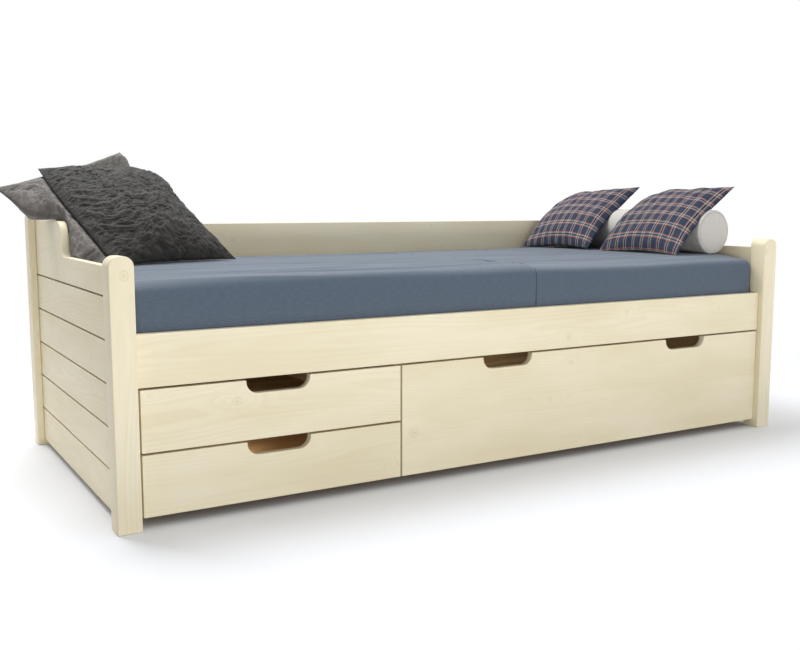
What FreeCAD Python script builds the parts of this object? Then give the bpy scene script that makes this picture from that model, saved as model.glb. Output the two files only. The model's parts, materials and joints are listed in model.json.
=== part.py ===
"""Pine single bed with three drawers, a sectioned mattress, two pillows, a bolster and two cushions.

Millimetres. X runs along the bed, the front is at -Y, Z is up.
The origin is on the floor, at the centre of the bed frame.
"""
import FreeCAD
import Part
import math
import os

from FreeCAD import Vector

# Mattress
MATTRESS_LENGTH = 2000.0
MATTRESS_WIDTH = 900.0
MATTRESS_HEIGHT = 160.0
MATTRESS_END_GAP = 3.0
MATTRESS_FRONT_GAP = 2.0
MATTRESS_BACK_GAP = 16.0
MATTRESS_JOINT_X = 118.0
MATTRESS_JOINT_GAP = 2.0
MATTRESS_CORNER = 14.0
MATTRESS_ROLL = 22.0
MATTRESS_CROWN = 5.0
MATTRESS_BULGE = 1.5

# Posts
POST_X = 55.0
POST_Y = 57.0
FRONT_POST_HEIGHT = 610.0
REAR_POST_HEIGHT = 702.0
POST_TOP_RADIUS = 23.0

# Planks of the two ends and the back
PLANK_RECESS = 20.0
PLANK_THICKNESS = 20.0
PLANK_PITCH = 100.0
PLANK_COUNT = 6
PLANK_REVEAL = 4.5
PLANK_BOTTOM = 17.0
TOP_JOINT_Z = 514.5
END_LOW_TOP = 583.5
END_HIGH_TOP = 676.0
STEP_TO_REAR_POST = 361.0
STEP_ROUND_RADIUS = 45.0
STEP_HOLLOW_RADIUS = 28.0
BACK_TOP = 659.0
TONGUE_THICKNESS = 6.0
TONGUE_HOLD = 6.0
HOUSING_DEPTH = 12.0
WOOD_FIT = 0.2

# Front rail and slatted base
RAIL_SETBACK = 19.0
RAIL_THICKNESS = 22.0
RAIL_BOTTOM = 319.0
RAIL_HEIGHT = 119.5
TENON_LENGTH = 25.0
TENON_SHOULDER = 10.0
SLAT_TOP = 400.0
SLAT_THICKNESS = 18.0
SLAT_WIDTH = 70.0
SLAT_COUNT = 13
SLAT_END_GAP = 2.0
SLAT_FIRST_INSET = 60.0
LEDGE_SIZE = 30.0
LEDGE_END_GAP = 48.0

# Divider between the drawer bays
DIVIDER_X = -329.75
DIVIDER_THICKNESS = 18.0
DIVIDER_TOE_DEPTH = 160.0

# Drawers
FRONT_THICKNESS = 20.0
FRONT_GAP = 5.0
FRONT_END_GAP = 4.75
FRONT_SHIFT = 3.75
FRONT_BOTTOM = 25.0
DRAWER_DEPTH = 700.0
DRAWER_WALL = 14.0
DRAWER_LIFT = 8.0
SMALL_BOX_HEIGHT = 110.0
LARGE_BOX_HEIGHT = 240.0
DRAWER_FLOOR = 5.0
FLOOR_LIFT = 10.0
FLOOR_HOLD = 6.0
PULL_WIDTH = 163.0
PULL_DEPTH = 32.0
PULL_RADIUS = 29.0
PULL_SPACING = 673.5
PULL_SHIFT = 6.1
SMALL_PULL_SHIFT = -2.4

# Drawer runners
RUNNER_GAP = 14.0
RUNNER_HEIGHT = 20.0
RUNNER_HOLD = 7.0
RUNNER_SLACK = 1.0
RUNNER_SEAT = 0.3
RUNNER_FRONT_GAP = 1.0
RUNNER_PAST_BOX = 9.0
SMALL_RUNNER_LIFT = 50.0
LARGE_RUNNER_LIFT = 110.0

# Steel brackets and screws
BRACKET_THICKNESS = 2.0
BRACKET_LEG = 40.0
BRACKET_HEIGHT = 42.0
BRACKET_LIFT = 12.0
BRACKET_SCREW_SHARE = 0.65
SCREW_RADIUS = 2.0
SCREW_HEAD_RADIUS = 4.0
SCREW_HEAD_HEIGHT = 2.0
SCREW_BITE = 12.0
SCREW_FIT = 0.05
SCREW_COVER = 1.0
RUNNER_SCREW_INSET = 40.0
RUNNER_SCREW_COUNT = 3

# Bolster and plaid cushions
BOLSTER_RADIUS = 73.0
BOLSTER_LENGTH = 760.0
BOLSTER_BACK_GAP = 44.0
BOLSTER_EDGE = 9.0
CUSHION_SIDE = 368.0
CUSHION_HEIGHT = 330.0
CUSHION_FRONT_CROWN = 52.0
CUSHION_BACK_CROWN = 30.0
CUSHION_FACING = -90.0
CUSHION_LEAN = 38.0
CUSHION_PRESS = 14.0
CUSHION_SEAM_LIFT = 14.0
FRONT_CUSHION_Y = -164.0
REAR_CUSHION_Y = 263.0
FRONT_CUSHION_TURN = -1.0
REAR_CUSHION_TURN = -1.0
FRONT_CUSHION_ROLL = 1.0
REAR_CUSHION_ROLL = 3.0

# Grey pillows
DARK_WIDTH = 415.0
DARK_HEIGHT = 420.0
DARK_FRONT_CROWN = 58.0
DARK_BACK_CROWN = 36.0
DARK_TURN = 21.0
DARK_LEAN = 35.5
DARK_FROM_END = 280.5
DARK_FROM_BACK = 430.5
LIGHT_WIDTH = 437.0
LIGHT_HEIGHT = 432.0
LIGHT_FRONT_CROWN = 46.0
LIGHT_BACK_CROWN = 40.0
LIGHT_TURN = 1.8
LIGHT_LEAN = 31.3
LIGHT_ROLL = 28.8
LIGHT_FROM_END = 160.0
LIGHT_FROM_BACK = 251.0
LIGHT_ABOVE_MATTRESS = 166.0

# Cushion making
SEAM_DRAW = 16.0
SEAM_CORNER = 9.0
CORNER_GROWTH = 0.9
FRONT_STEPS = ((0.95, 0.25), (0.85, 0.52), (0.66, 0.82), (0.4, 1.0))
BACK_STEPS = ((0.965, 0.4), (0.86, 0.75), (0.5, 1.0))
SOFT_GAP = 0.4
SETTLE_ROUNDS = 6

# Places that follow from the sizes above
INNER_X = MATTRESS_LENGTH / 2 + MATTRESS_END_GAP
OUTER_X = INNER_X + POST_X
BED_ROOM = MATTRESS_FRONT_GAP + MATTRESS_WIDTH + MATTRESS_BACK_GAP
BED_DEPTH = RAIL_SETBACK + RAIL_THICKNESS + BED_ROOM + POST_Y - PLANK_RECESS
FRONT_Y = -BED_DEPTH / 2
REAR_Y = BED_DEPTH / 2
FRONT_POST_BACK = FRONT_Y + POST_Y
REAR_POST_FRONT = REAR_Y - POST_Y
END_OUTER = OUTER_X - PLANK_RECESS
END_INNER = END_OUTER - PLANK_THICKNESS
BACK_FACE = REAR_POST_FRONT + PLANK_RECESS
RAIL_FACE = FRONT_Y + RAIL_SETBACK
RAIL_BACK = RAIL_FACE + RAIL_THICKNESS
RAIL_TOP = RAIL_BOTTOM + RAIL_HEIGHT
FRONT_BACK = RAIL_FACE + FRONT_THICKNESS
FRONT_TOP = RAIL_BOTTOM - FRONT_GAP
SLAT_BOTTOM = SLAT_TOP - SLAT_THICKNESS
MATTRESS_TOP = SLAT_TOP + MATTRESS_HEIGHT
DIVIDER_LEFT = DIVIDER_X - DIVIDER_THICKNESS / 2
DIVIDER_RIGHT = DIVIDER_X + DIVIDER_THICKNESS / 2
SMALL_FRONT_HEIGHT = (FRONT_TOP - FRONT_BOTTOM - FRONT_GAP) / 2
STEP_Y = REAR_POST_FRONT - STEP_TO_REAR_POST
BOX_BACK = FRONT_BACK + DRAWER_DEPTH
RUNNER_FRONT = FRONT_POST_BACK + RUNNER_FRONT_GAP
RUNNER_BACK = BOX_BACK + RUNNER_PAST_BOX
BOLSTER_X = END_INNER - SOFT_GAP - BOLSTER_RADIUS
BOLSTER_FRONT = BACK_FACE - BOLSTER_BACK_GAP - BOLSTER_LENGTH
UP = Vector(0, 0, 1)


def box(x0, x1, y0, y1, z0, z1):
    """A box between two corners, given in any order."""
    low = Vector(min(x0, x1), min(y0, y1), min(z0, z1))
    return Part.makeBox(abs(x1 - x0), abs(y1 - y0), abs(z1 - z0), low)


def arc(a, b, c):
    """An edge from a to c through b."""
    return Part.Arc(a, b, c).toShape()


def line(a, b):
    return Part.LineSegment(a, b).toShape()


def extrude(edges, direction):
    return Part.Face(Part.Wire(edges)).extrude(direction)


def save(name, shape):
    shape.exportStep("parts/" + name + ".step")


def post(side, y0, height):
    """A square post with its two upper corners rounded, seen from the front."""
    outer = side * OUTER_X
    inner = side * INNER_X
    r = POST_TOP_RADIUS
    bend = r * (1 - math.sqrt(0.5))
    shoulder = height - r
    edges = [
        line(Vector(outer, y0, 0), Vector(outer, y0, shoulder)),
        arc(
            Vector(outer, y0, shoulder),
            Vector(outer - side * bend, y0, height - bend),
            Vector(outer - side * r, y0, height),
        ),
        line(Vector(outer - side * r, y0, height), Vector(inner + side * r, y0, height)),
        arc(
            Vector(inner + side * r, y0, height),
            Vector(inner + side * bend, y0, height - bend),
            Vector(inner, y0, shoulder),
        ),
        line(Vector(inner, y0, shoulder), Vector(inner, y0, 0)),
        line(Vector(inner, y0, 0), Vector(outer, y0, 0)),
    ]
    return extrude(edges, Vector(0, POST_Y, 0))


def end_housing(side, y_mouth, into, top):
    """The groove in a post that takes the ends of the end planks."""
    return box(
        side * (END_OUTER + WOOD_FIT),
        side * (END_INNER - WOOD_FIT),
        y_mouth,
        y_mouth + into * (HOUSING_DEPTH + WOOD_FIT),
        PLANK_BOTTOM - WOOD_FIT,
        top + WOOD_FIT,
    )


def back_housing(side):
    """The groove in a rear post that takes the ends of the back planks."""
    return box(
        side * INNER_X,
        side * (INNER_X + HOUSING_DEPTH + WOOD_FIT),
        BACK_FACE - WOOD_FIT,
        BACK_FACE + PLANK_THICKNESS + WOOD_FIT,
        PLANK_BOTTOM - WOOD_FIT,
        BACK_TOP + WOOD_FIT,
    )


def rail_tenon(side, play):
    """The tenon of the front rail, or its mortise when play is more than nothing."""
    return box(
        side * INNER_X,
        side * (INNER_X + TENON_LENGTH + play),
        RAIL_FACE - play,
        RAIL_BACK + play,
        RAIL_BOTTOM + TENON_SHOULDER - play,
        RAIL_TOP - TENON_SHOULDER + play,
    )


def plank_joint(index):
    """Height of the middle of the joint above the plank with this index, counted from the bottom."""
    return TOP_JOINT_Z - (PLANK_COUNT - 2 - index) * PLANK_PITCH


def plank_span(index, top):
    low = PLANK_BOTTOM if index == 0 else plank_joint(index - 1) + PLANK_REVEAL / 2
    high = top if index == PLANK_COUNT - 1 else plank_joint(index) - PLANK_REVEAL / 2
    return low, high


def tongue_and_groove(plank, index, low, high, strip):
    """Adds the tongue on the upper edge and cuts the groove in the lower edge.

    strip(inset, z0, z1) gives a box over the plank's length, inset from both of its faces.
    """
    inset = (PLANK_THICKNESS - TONGUE_THICKNESS) / 2
    if index < PLANK_COUNT - 1:
        plank = plank.fuse(strip(inset, high, high + PLANK_REVEAL + TONGUE_HOLD))
    if index > 0:
        plank = plank.cut(strip(inset - WOOD_FIT, low, low + TONGUE_HOLD + WOOD_FIT))
    return plank.removeSplitter()


def end_plank(side, index):
    low, high = plank_span(index, END_LOW_TOP)
    y0 = FRONT_POST_BACK - HOUSING_DEPTH
    y1 = REAR_POST_FRONT + HOUSING_DEPTH

    def strip(inset, z0, z1):
        return box(side * (END_OUTER - inset), side * (END_INNER + inset), y0, y1, z0, z1)

    if index == PLANK_COUNT - 1:
        plank = stepped_plank(side, low, y0, y1)
    else:
        plank = strip(0, low, high)
    return tongue_and_groove(plank, index, low, high, strip)


def stepped_plank(side, low, y0, y1):
    """The top plank of an end, which steps up in an S towards the rear."""
    x = side * END_OUTER
    hollow = STEP_HOLLOW_RADIUS
    round_ = STEP_ROUND_RADIUS
    near = 1 - math.sqrt(0.5)
    foot = Vector(x, STEP_Y - hollow, END_LOW_TOP)
    rise = Vector(x, STEP_Y, END_LOW_TOP + hollow)
    brow = Vector(x, STEP_Y, END_HIGH_TOP - round_)
    crest = Vector(x, STEP_Y + round_, END_HIGH_TOP)
    edges = [
        line(Vector(x, y0, low), Vector(x, y0, END_LOW_TOP)),
        line(Vector(x, y0, END_LOW_TOP), foot),
        arc(foot, Vector(x, STEP_Y - hollow * near, END_LOW_TOP + hollow * near), rise),
        line(rise, brow),
        arc(brow, Vector(x, STEP_Y + round_ * near, END_HIGH_TOP - round_ * near), crest),
        line(crest, Vector(x, y1, END_HIGH_TOP)),
        line(Vector(x, y1, END_HIGH_TOP), Vector(x, y1, low)),
        line(Vector(x, y1, low), Vector(x, y0, low)),
    ]
    return extrude(edges, Vector(-side * PLANK_THICKNESS, 0, 0))


def back_plank(index):
    low, high = plank_span(index, BACK_TOP)
    reach = INNER_X + HOUSING_DEPTH

    def strip(inset, z0, z1):
        return box(-reach, reach, BACK_FACE + inset, BACK_FACE + PLANK_THICKNESS - inset, z0, z1)

    return tongue_and_groove(strip(0, low, high), index, low, high, strip)


def front_rail():
    rail = box(-INNER_X, INNER_X, RAIL_FACE, RAIL_BACK, RAIL_BOTTOM, RAIL_TOP)
    return rail.fuse([rail_tenon(-1, 0), rail_tenon(1, 0)]).removeSplitter()


def slat_ledge(y0, y1):
    reach = INNER_X - LEDGE_END_GAP
    return box(-reach, reach, y0, y1, SLAT_BOTTOM - LEDGE_SIZE, SLAT_BOTTOM)


def bed_slats():
    first = -INNER_X + SLAT_FIRST_INSET
    step = -2 * first / (SLAT_COUNT - 1)
    slats = []
    for index in range(SLAT_COUNT):
        x = first + index * step
        slats.append(
            box(
                x - SLAT_WIDTH / 2,
                x + SLAT_WIDTH / 2,
                RAIL_BACK + SLAT_END_GAP,
                BACK_FACE - SLAT_END_GAP,
                SLAT_BOTTOM,
                SLAT_TOP,
            )
        )
    return Part.makeCompound(slats)


def centre_divider():
    """The upright board between the drawer bays, notched for the two slat ledges."""
    board = box(DIVIDER_LEFT, DIVIDER_RIGHT, FRONT_BACK + FRONT_GAP, BACK_FACE, 0, SLAT_BOTTOM)
    toe = box(
        DIVIDER_LEFT,
        DIVIDER_RIGHT,
        FRONT_BACK,
        FRONT_BACK + FRONT_GAP + DIVIDER_TOE_DEPTH,
        0,
        FRONT_BOTTOM,
    )
    notch_low = SLAT_BOTTOM - LEDGE_SIZE
    front_notch = box(DIVIDER_LEFT, DIVIDER_RIGHT, FRONT_BACK, RAIL_BACK + LEDGE_SIZE, notch_low, SLAT_BOTTOM)
    rear_notch = box(DIVIDER_LEFT, DIVIDER_RIGHT, BACK_FACE - LEDGE_SIZE, BACK_FACE, notch_low, SLAT_BOTTOM)
    return board.cut([toe, front_notch, rear_notch])


def drawer(name, front_x, box_x, front_z, box_height, runner_lift, pulls):
    """The sizes of one drawer and of the space that its runners need."""
    low = front_z[0] + DRAWER_LIFT
    return {
        "name": name,
        "front_x": front_x,
        "box_x": box_x,
        "front_z": front_z,
        "low": low,
        "high": low + box_height,
        "runner": low + runner_lift,
        "pulls": pulls,
    }


def drawers():
    left_front = (-INNER_X + FRONT_END_GAP + FRONT_SHIFT, DIVIDER_X - FRONT_GAP / 2)
    right_front = (DIVIDER_X + FRONT_GAP / 2, INNER_X - FRONT_END_GAP + FRONT_SHIFT)
    left_box = (-INNER_X + RUNNER_GAP, DIVIDER_LEFT - RUNNER_GAP)
    right_box = (DIVIDER_RIGHT + RUNNER_GAP, INNER_X - RUNNER_GAP)
    middle = FRONT_BOTTOM + SMALL_FRONT_HEIGHT
    left_pull = [(left_front[0] + left_front[1]) / 2 + SMALL_PULL_SHIFT]
    right_middle = (right_front[0] + right_front[1]) / 2 + PULL_SHIFT
    right_pulls = [right_middle - PULL_SPACING / 2, right_middle + PULL_SPACING / 2]
    upper_z = (middle + FRONT_GAP, FRONT_TOP)
    lower_z = (FRONT_BOTTOM, middle)
    small = (SMALL_BOX_HEIGHT, SMALL_RUNNER_LIFT, left_pull)
    large = (LARGE_BOX_HEIGHT, LARGE_RUNNER_LIFT, right_pulls)
    return [
        drawer("upper_drawer", left_front, left_box, upper_z, *small),
        drawer("lower_drawer", left_front, left_box, lower_z, *small),
        drawer("large_drawer", right_front, right_box, (FRONT_BOTTOM, FRONT_TOP), *large),
    ]


def pull_cut(x, top):
    """The hand slot in the upper edge of a drawer front, with round lower corners."""
    half = PULL_WIDTH / 2
    r = PULL_RADIUS
    low = top - PULL_DEPTH
    bend = r * (1 - math.sqrt(0.5))
    y = RAIL_FACE
    over = top + FRONT_GAP
    edges = [
        line(Vector(x - half, y, over), Vector(x - half, y, low + r)),
        arc(
            Vector(x - half, y, low + r),
            Vector(x - half + bend, y, low + bend),
            Vector(x - half + r, y, low),
        ),
        line(Vector(x - half + r, y, low), Vector(x + half - r, y, low)),
        arc(
            Vector(x + half - r, y, low),
            Vector(x + half - bend, y, low + bend),
            Vector(x + half, y, low + r),
        ),
        line(Vector(x + half, y, low + r), Vector(x + half, y, over)),
        line(Vector(x + half, y, over), Vector(x - half, y, over)),
    ]
    return extrude(edges, Vector(0, FRONT_THICKNESS, 0))


def floor_panel(d, play):
    """The drawer's floor, or the groove for it when play is more than nothing."""
    low = d["low"] + FLOOR_LIFT
    return box(
        d["box_x"][0] + DRAWER_WALL - FLOOR_HOLD - play,
        d["box_x"][1] - DRAWER_WALL + FLOOR_HOLD + play,
        FRONT_BACK - FLOOR_HOLD - play,
        BOX_BACK - DRAWER_WALL + FLOOR_HOLD + play,
        low - play,
        low + DRAWER_FLOOR + play,
    )


def drawer_side(d, x_outer, into):
    """One side of a drawer box, with a groove for its runner that is open at the back."""
    side = box(x_outer, x_outer + into * DRAWER_WALL, FRONT_BACK, BOX_BACK, d["low"], d["high"])
    groove = box(
        x_outer,
        x_outer + into * (RUNNER_HOLD + RUNNER_SLACK),
        RUNNER_FRONT - RUNNER_FRONT_GAP,
        BOX_BACK,
        d["runner"] - RUNNER_SLACK,
        d["runner"] + RUNNER_HEIGHT + RUNNER_SEAT,
    )
    return side.cut([groove, floor_panel(d, WOOD_FIT)])


def save_drawer(d):
    name = d["name"]
    x0, x1 = d["box_x"]
    front = box(*d["front_x"], RAIL_FACE, FRONT_BACK, *d["front_z"])
    slots = [pull_cut(x, d["front_z"][1]) for x in d["pulls"]]
    back = box(x0 + DRAWER_WALL, x1 - DRAWER_WALL, BOX_BACK - DRAWER_WALL, BOX_BACK, d["low"], d["high"])
    save(name + "_front", front.cut(slots + [floor_panel(d, WOOD_FIT)]))
    save(name + "_left_side", drawer_side(d, x0, 1))
    save(name + "_right_side", drawer_side(d, x1, -1))
    save(name + "_back", back.cut(floor_panel(d, WOOD_FIT)))
    save(name + "_floor", floor_panel(d, 0))


def runners(d, bay):
    """The two runners of a drawer: name, wall that carries it, tip in the drawer side, direction."""
    wall_left, wall_right = bay
    return [
        (d["name"] + "_left_runner", wall_left, d["box_x"][0] + RUNNER_HOLD, 1, d["runner"]),
        (d["name"] + "_right_runner", wall_right, d["box_x"][1] - RUNNER_HOLD, -1, d["runner"]),
    ]


def all_runners():
    left_bay = (-END_INNER, DIVIDER_LEFT)
    right_bay = (DIVIDER_RIGHT, END_INNER)
    upper, lower, large = drawers()
    return runners(upper, left_bay) + runners(lower, left_bay) + runners(large, right_bay)


def runner_batten(wall, tip, low):
    return box(wall, tip, RUNNER_FRONT, RUNNER_BACK, low, low + RUNNER_HEIGHT)


def screw(seat, direction, length, play):
    """A screw with a flat head, or its hole when play is more than nothing.

    seat is the middle of the head's outer face, and direction is the way that it is driven.
    """
    head = Part.makeCylinder(SCREW_HEAD_RADIUS + play, SCREW_HEAD_HEIGHT + play, seat, direction)
    shank = Part.makeCylinder(SCREW_RADIUS + play, length + play, seat, direction)
    return head.fuse(shank).removeSplitter()


def runner_screws(play):
    """Screws that hold every runner to its wall, sunk level with the runner's inner face."""
    first = RUNNER_FRONT + RUNNER_SCREW_INSET
    step = (RUNNER_BACK - RUNNER_FRONT - 2 * RUNNER_SCREW_INSET) / (RUNNER_SCREW_COUNT - 1)
    screws = []
    for name, wall, tip, into, low in all_runners():
        bite = SCREW_BITE
        if wall in (DIVIDER_LEFT, DIVIDER_RIGHT):
            bite = min(SCREW_BITE, DIVIDER_THICKNESS / 2 - SCREW_COVER)
        for index in range(RUNNER_SCREW_COUNT):
            seat = Vector(tip, first + index * step, low + RUNNER_HEIGHT / 2)
            screws.append(screw(seat, Vector(-into, 0, 0), abs(tip - wall) + bite, play))
    return screws


def corner_bracket(side):
    """A steel angle in the corner behind the front rail."""
    low = RAIL_BOTTOM + BRACKET_LIFT
    high = low + BRACKET_HEIGHT
    face = side * INNER_X
    along = box(face, face - side * BRACKET_LEG, RAIL_BACK, RAIL_BACK + BRACKET_THICKNESS, low, high)
    across = box(face, face - side * BRACKET_THICKNESS, RAIL_BACK, FRONT_POST_BACK, low, high)
    return along.fuse(across).removeSplitter()


def bracket_screws(side, play):
    middle = RAIL_BOTTOM + BRACKET_LIFT + BRACKET_HEIGHT / 2
    length = SCREW_HEAD_HEIGHT + BRACKET_THICKNESS + SCREW_BITE
    outward = SCREW_HEAD_HEIGHT + BRACKET_THICKNESS
    along = INNER_X - BRACKET_LEG * BRACKET_SCREW_SHARE
    screws = []
    for rise in (-BRACKET_HEIGHT / 4, BRACKET_HEIGHT / 4):
        rail_seat = Vector(side * along, RAIL_BACK + outward, middle + rise)
        screws.append(screw(rail_seat, Vector(0, -1, 0), length, play))
        across = (RAIL_BACK + BRACKET_THICKNESS + FRONT_POST_BACK) / 2
        post_seat = Vector(side * (INNER_X - outward), across, middle + rise)
        screws.append(screw(post_seat, Vector(side, 0, 0), length, play))
    return screws


def seam_outline(half_u, half_v, draw, corner, height):
    """A four-sided outline whose sides are drawn in between rounded corners."""
    bend = corner * (1 - math.sqrt(0.5))
    edges = []
    turns = ((1, 0, half_u, half_v), (0, 1, half_v, half_u), (-1, 0, half_u, half_v), (0, -1, half_v, half_u))
    for cu, cv, reach, side in turns:
        ahead = Vector(-cv, cu, 0)
        along = Vector(cu, cv, 0)

        def point(out, across):
            return along * out + ahead * across + Vector(0, 0, height)

        start = point(reach, corner - side)
        middle = point(reach - draw, 0)
        finish = point(reach, side - corner)
        edges.append(arc(start, middle, finish))
        edges.append(arc(finish, point(reach - bend, side - bend), point(reach - corner, side)))
    return Part.Wire(edges)


def pillow(width, height, front_crown, back_crown):
    """A crowned pillow about its seam plane: U across, V up, and its front at +Z."""
    half_u = width / 2
    half_v = height / 2
    small = min(half_u, half_v)
    levels = [(share, -rise * back_crown) for share, rise in reversed(BACK_STEPS)]
    levels += [(1.0, 0.0)]
    levels += [(share, rise * front_crown) for share, rise in FRONT_STEPS]
    wires = []
    for share, z in levels:
        corner = SEAM_CORNER + CORNER_GROWTH * (1 - share) * share * small
        wires.append(seam_outline(half_u * share, half_v * share, SEAM_DRAW * share, corner, z))
    return Part.makeLoft(wires, True, True)


def leaning(shape, turn, lean, roll, middle):
    """Stands a pillow up: its V axis rises by lean degrees, away from the way that it faces.

    turn is the heading of its U axis about Z, and roll turns it in its own plane.
    """
    placed = shape.copy()
    turned = FreeCAD.Rotation(UP, turn)
    leant = FreeCAD.Rotation(Vector(1, 0, 0), lean)
    rolled = FreeCAD.Rotation(UP, roll)
    placed.Placement = FreeCAD.Placement(middle, turned * leant * rolled)
    return placed


def settle(shape, support):
    """Lowers a soft piece until it lies on its support."""
    for _ in range(SETTLE_ROUNDS):
        gap = shape.distToShape(support)[0]
        shape.translate(Vector(0, 0, SOFT_GAP - gap))
        if abs(gap - SOFT_GAP) < SOFT_GAP / 4:
            break
    return shape


def mattress_section(x0, x1):
    """One section of the mattress: sides that swell a little, rolled edges and a low crown."""
    y0 = RAIL_BACK + MATTRESS_FRONT_GAP
    y1 = y0 + MATTRESS_WIDTH
    middle = Vector((x0 + x1) / 2, (y0 + y1) / 2, 0)
    half_u = (x1 - x0) / 2
    half_v = (y1 - y0) / 2
    roll = MATTRESS_ROLL
    body = MATTRESS_HEIGHT - MATTRESS_CROWN
    levels = [
        (roll / 2, 0),
        (MATTRESS_BULGE, roll / 2),
        (0, body / 2),
        (MATTRESS_BULGE, body - roll),
        (roll / 2, body - roll / 4),
        (roll * 2, body + MATTRESS_CROWN / 2),
        (half_v / 2, MATTRESS_HEIGHT),
    ]
    wires = []
    for inset, z in levels:
        wire = rounded_outline(half_u - inset, half_v - inset, MATTRESS_CORNER, SLAT_TOP + z)
        wire.translate(middle)
        wires.append(wire)
    return Part.makeLoft(wires, True, True)


def mattress_space():
    """The room inside the frame, up to the highest line of the mattress."""
    return box(-OUTER_X, OUTER_X, FRONT_Y, REAR_Y, SLAT_TOP, MATTRESS_TOP)


def rounded_outline(half_u, half_v, corner, height):
    """A rectangle with rounded corners."""
    bend = corner * (1 - math.sqrt(0.5))
    edges = []
    turns = ((1, 0, half_u, half_v), (0, 1, half_v, half_u), (-1, 0, half_u, half_v), (0, -1, half_v, half_u))
    for cu, cv, reach, side in turns:
        along = Vector(cu, cv, 0)
        ahead = Vector(-cv, cu, 0)
        lift = Vector(0, 0, height)
        start = along * reach + ahead * (corner - side) + lift
        finish = along * reach + ahead * (side - corner) + lift
        knuckle = along * (reach - bend) + ahead * (side - bend) + lift
        after = along * (reach - corner) + ahead * side + lift
        edges.append(line(start, finish))
        edges.append(arc(finish, knuckle, after))
    return Part.Wire(edges)


def bolster():
    """A round bolster along Y, a little fuller in its middle, with rolled ends."""
    end = BOLSTER_EDGE
    back = BOLSTER_FRONT + BOLSTER_LENGTH
    stations = [
        (BOLSTER_FRONT, BOLSTER_RADIUS - end),
        (BOLSTER_FRONT + end / 3, BOLSTER_RADIUS - end / 3),
        (BOLSTER_FRONT + end * 2, BOLSTER_RADIUS - end / 6),
        (BOLSTER_FRONT + BOLSTER_LENGTH / 2, BOLSTER_RADIUS),
        (back - end * 2, BOLSTER_RADIUS - end / 6),
        (back - end / 3, BOLSTER_RADIUS - end / 3),
        (back, BOLSTER_RADIUS - end),
    ]
    quarters = 4
    wires = []
    for y, radius in stations:
        edges = []
        for index in range(quarters):
            angles = [math.radians(90 * index + 45 * part) for part in range(3)]
            points = [Vector(radius * math.cos(a), y, radius * math.sin(a)) for a in angles]
            edges.append(arc(*points))
        wires.append(Part.Wire(edges))
    roll = Part.makeLoft(wires, True, True)
    roll.translate(Vector(BOLSTER_X, 0, MATTRESS_TOP + BOLSTER_RADIUS))
    return roll


def plaid_cushion(y, turn, roll, roll_axis_z):
    """A cushion that lies back against the bolster, dented where the bolster presses in."""
    lean = math.radians(CUSHION_LEAN)
    seam_z = MATTRESS_TOP + CUSHION_SEAM_LIFT
    reach = BOLSTER_RADIUS - CUSHION_PRESS
    back_off = ((roll_axis_z - seam_z) * math.cos(lean) + reach) / math.sin(lean)
    half = CUSHION_HEIGHT / 2
    middle = Vector(
        BOLSTER_X - back_off + half * math.cos(lean),
        y,
        seam_z + half * math.sin(lean) + CUSHION_FRONT_CROWN,
    )
    form = pillow(CUSHION_SIDE, CUSHION_HEIGHT, CUSHION_FRONT_CROWN, CUSHION_BACK_CROWN)
    form = leaning(form, CUSHION_FACING + turn, CUSHION_LEAN, roll, middle)
    form = settle(form, mattress_space())
    hollow = BOLSTER_RADIUS + SOFT_GAP
    start = Vector(BOLSTER_X, BOLSTER_FRONT - CUSHION_SIDE, roll_axis_z)
    length = BOLSTER_LENGTH + 2 * CUSHION_SIDE
    dent = Part.makeCylinder(hollow, length, start, Vector(0, 1, 0))
    under = box(
        BOLSTER_X - hollow,
        BOLSTER_X + hollow,
        start.y,
        start.y + length,
        MATTRESS_TOP - CUSHION_HEIGHT,
        roll_axis_z,
    )
    return form.cut([dent, under])


def dark_pillow(support):
    lean = math.radians(DARK_LEAN)
    turn = math.radians(DARK_TURN)
    half = DARK_HEIGHT / 2 * math.cos(lean)
    middle = Vector(
        -END_INNER + DARK_FROM_END - half * math.sin(turn),
        BACK_FACE - DARK_FROM_BACK + half * math.cos(turn),
        MATTRESS_TOP + DARK_HEIGHT / 2 * math.sin(lean) + DARK_FRONT_CROWN,
    )
    form = pillow(DARK_WIDTH, DARK_HEIGHT, DARK_FRONT_CROWN, DARK_BACK_CROWN)
    return settle(leaning(form, DARK_TURN, DARK_LEAN, 0, middle), support)


def plan_reach(half, back_crown, lean):
    """How far a leaning pillow's upper edge or back reaches from its middle, seen from above."""
    rise = math.sin(math.radians(lean))
    along = math.cos(math.radians(lean))
    return max(half * share * along + back_crown * depth * rise for share, depth in ((1, 0),) + BACK_STEPS)


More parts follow.
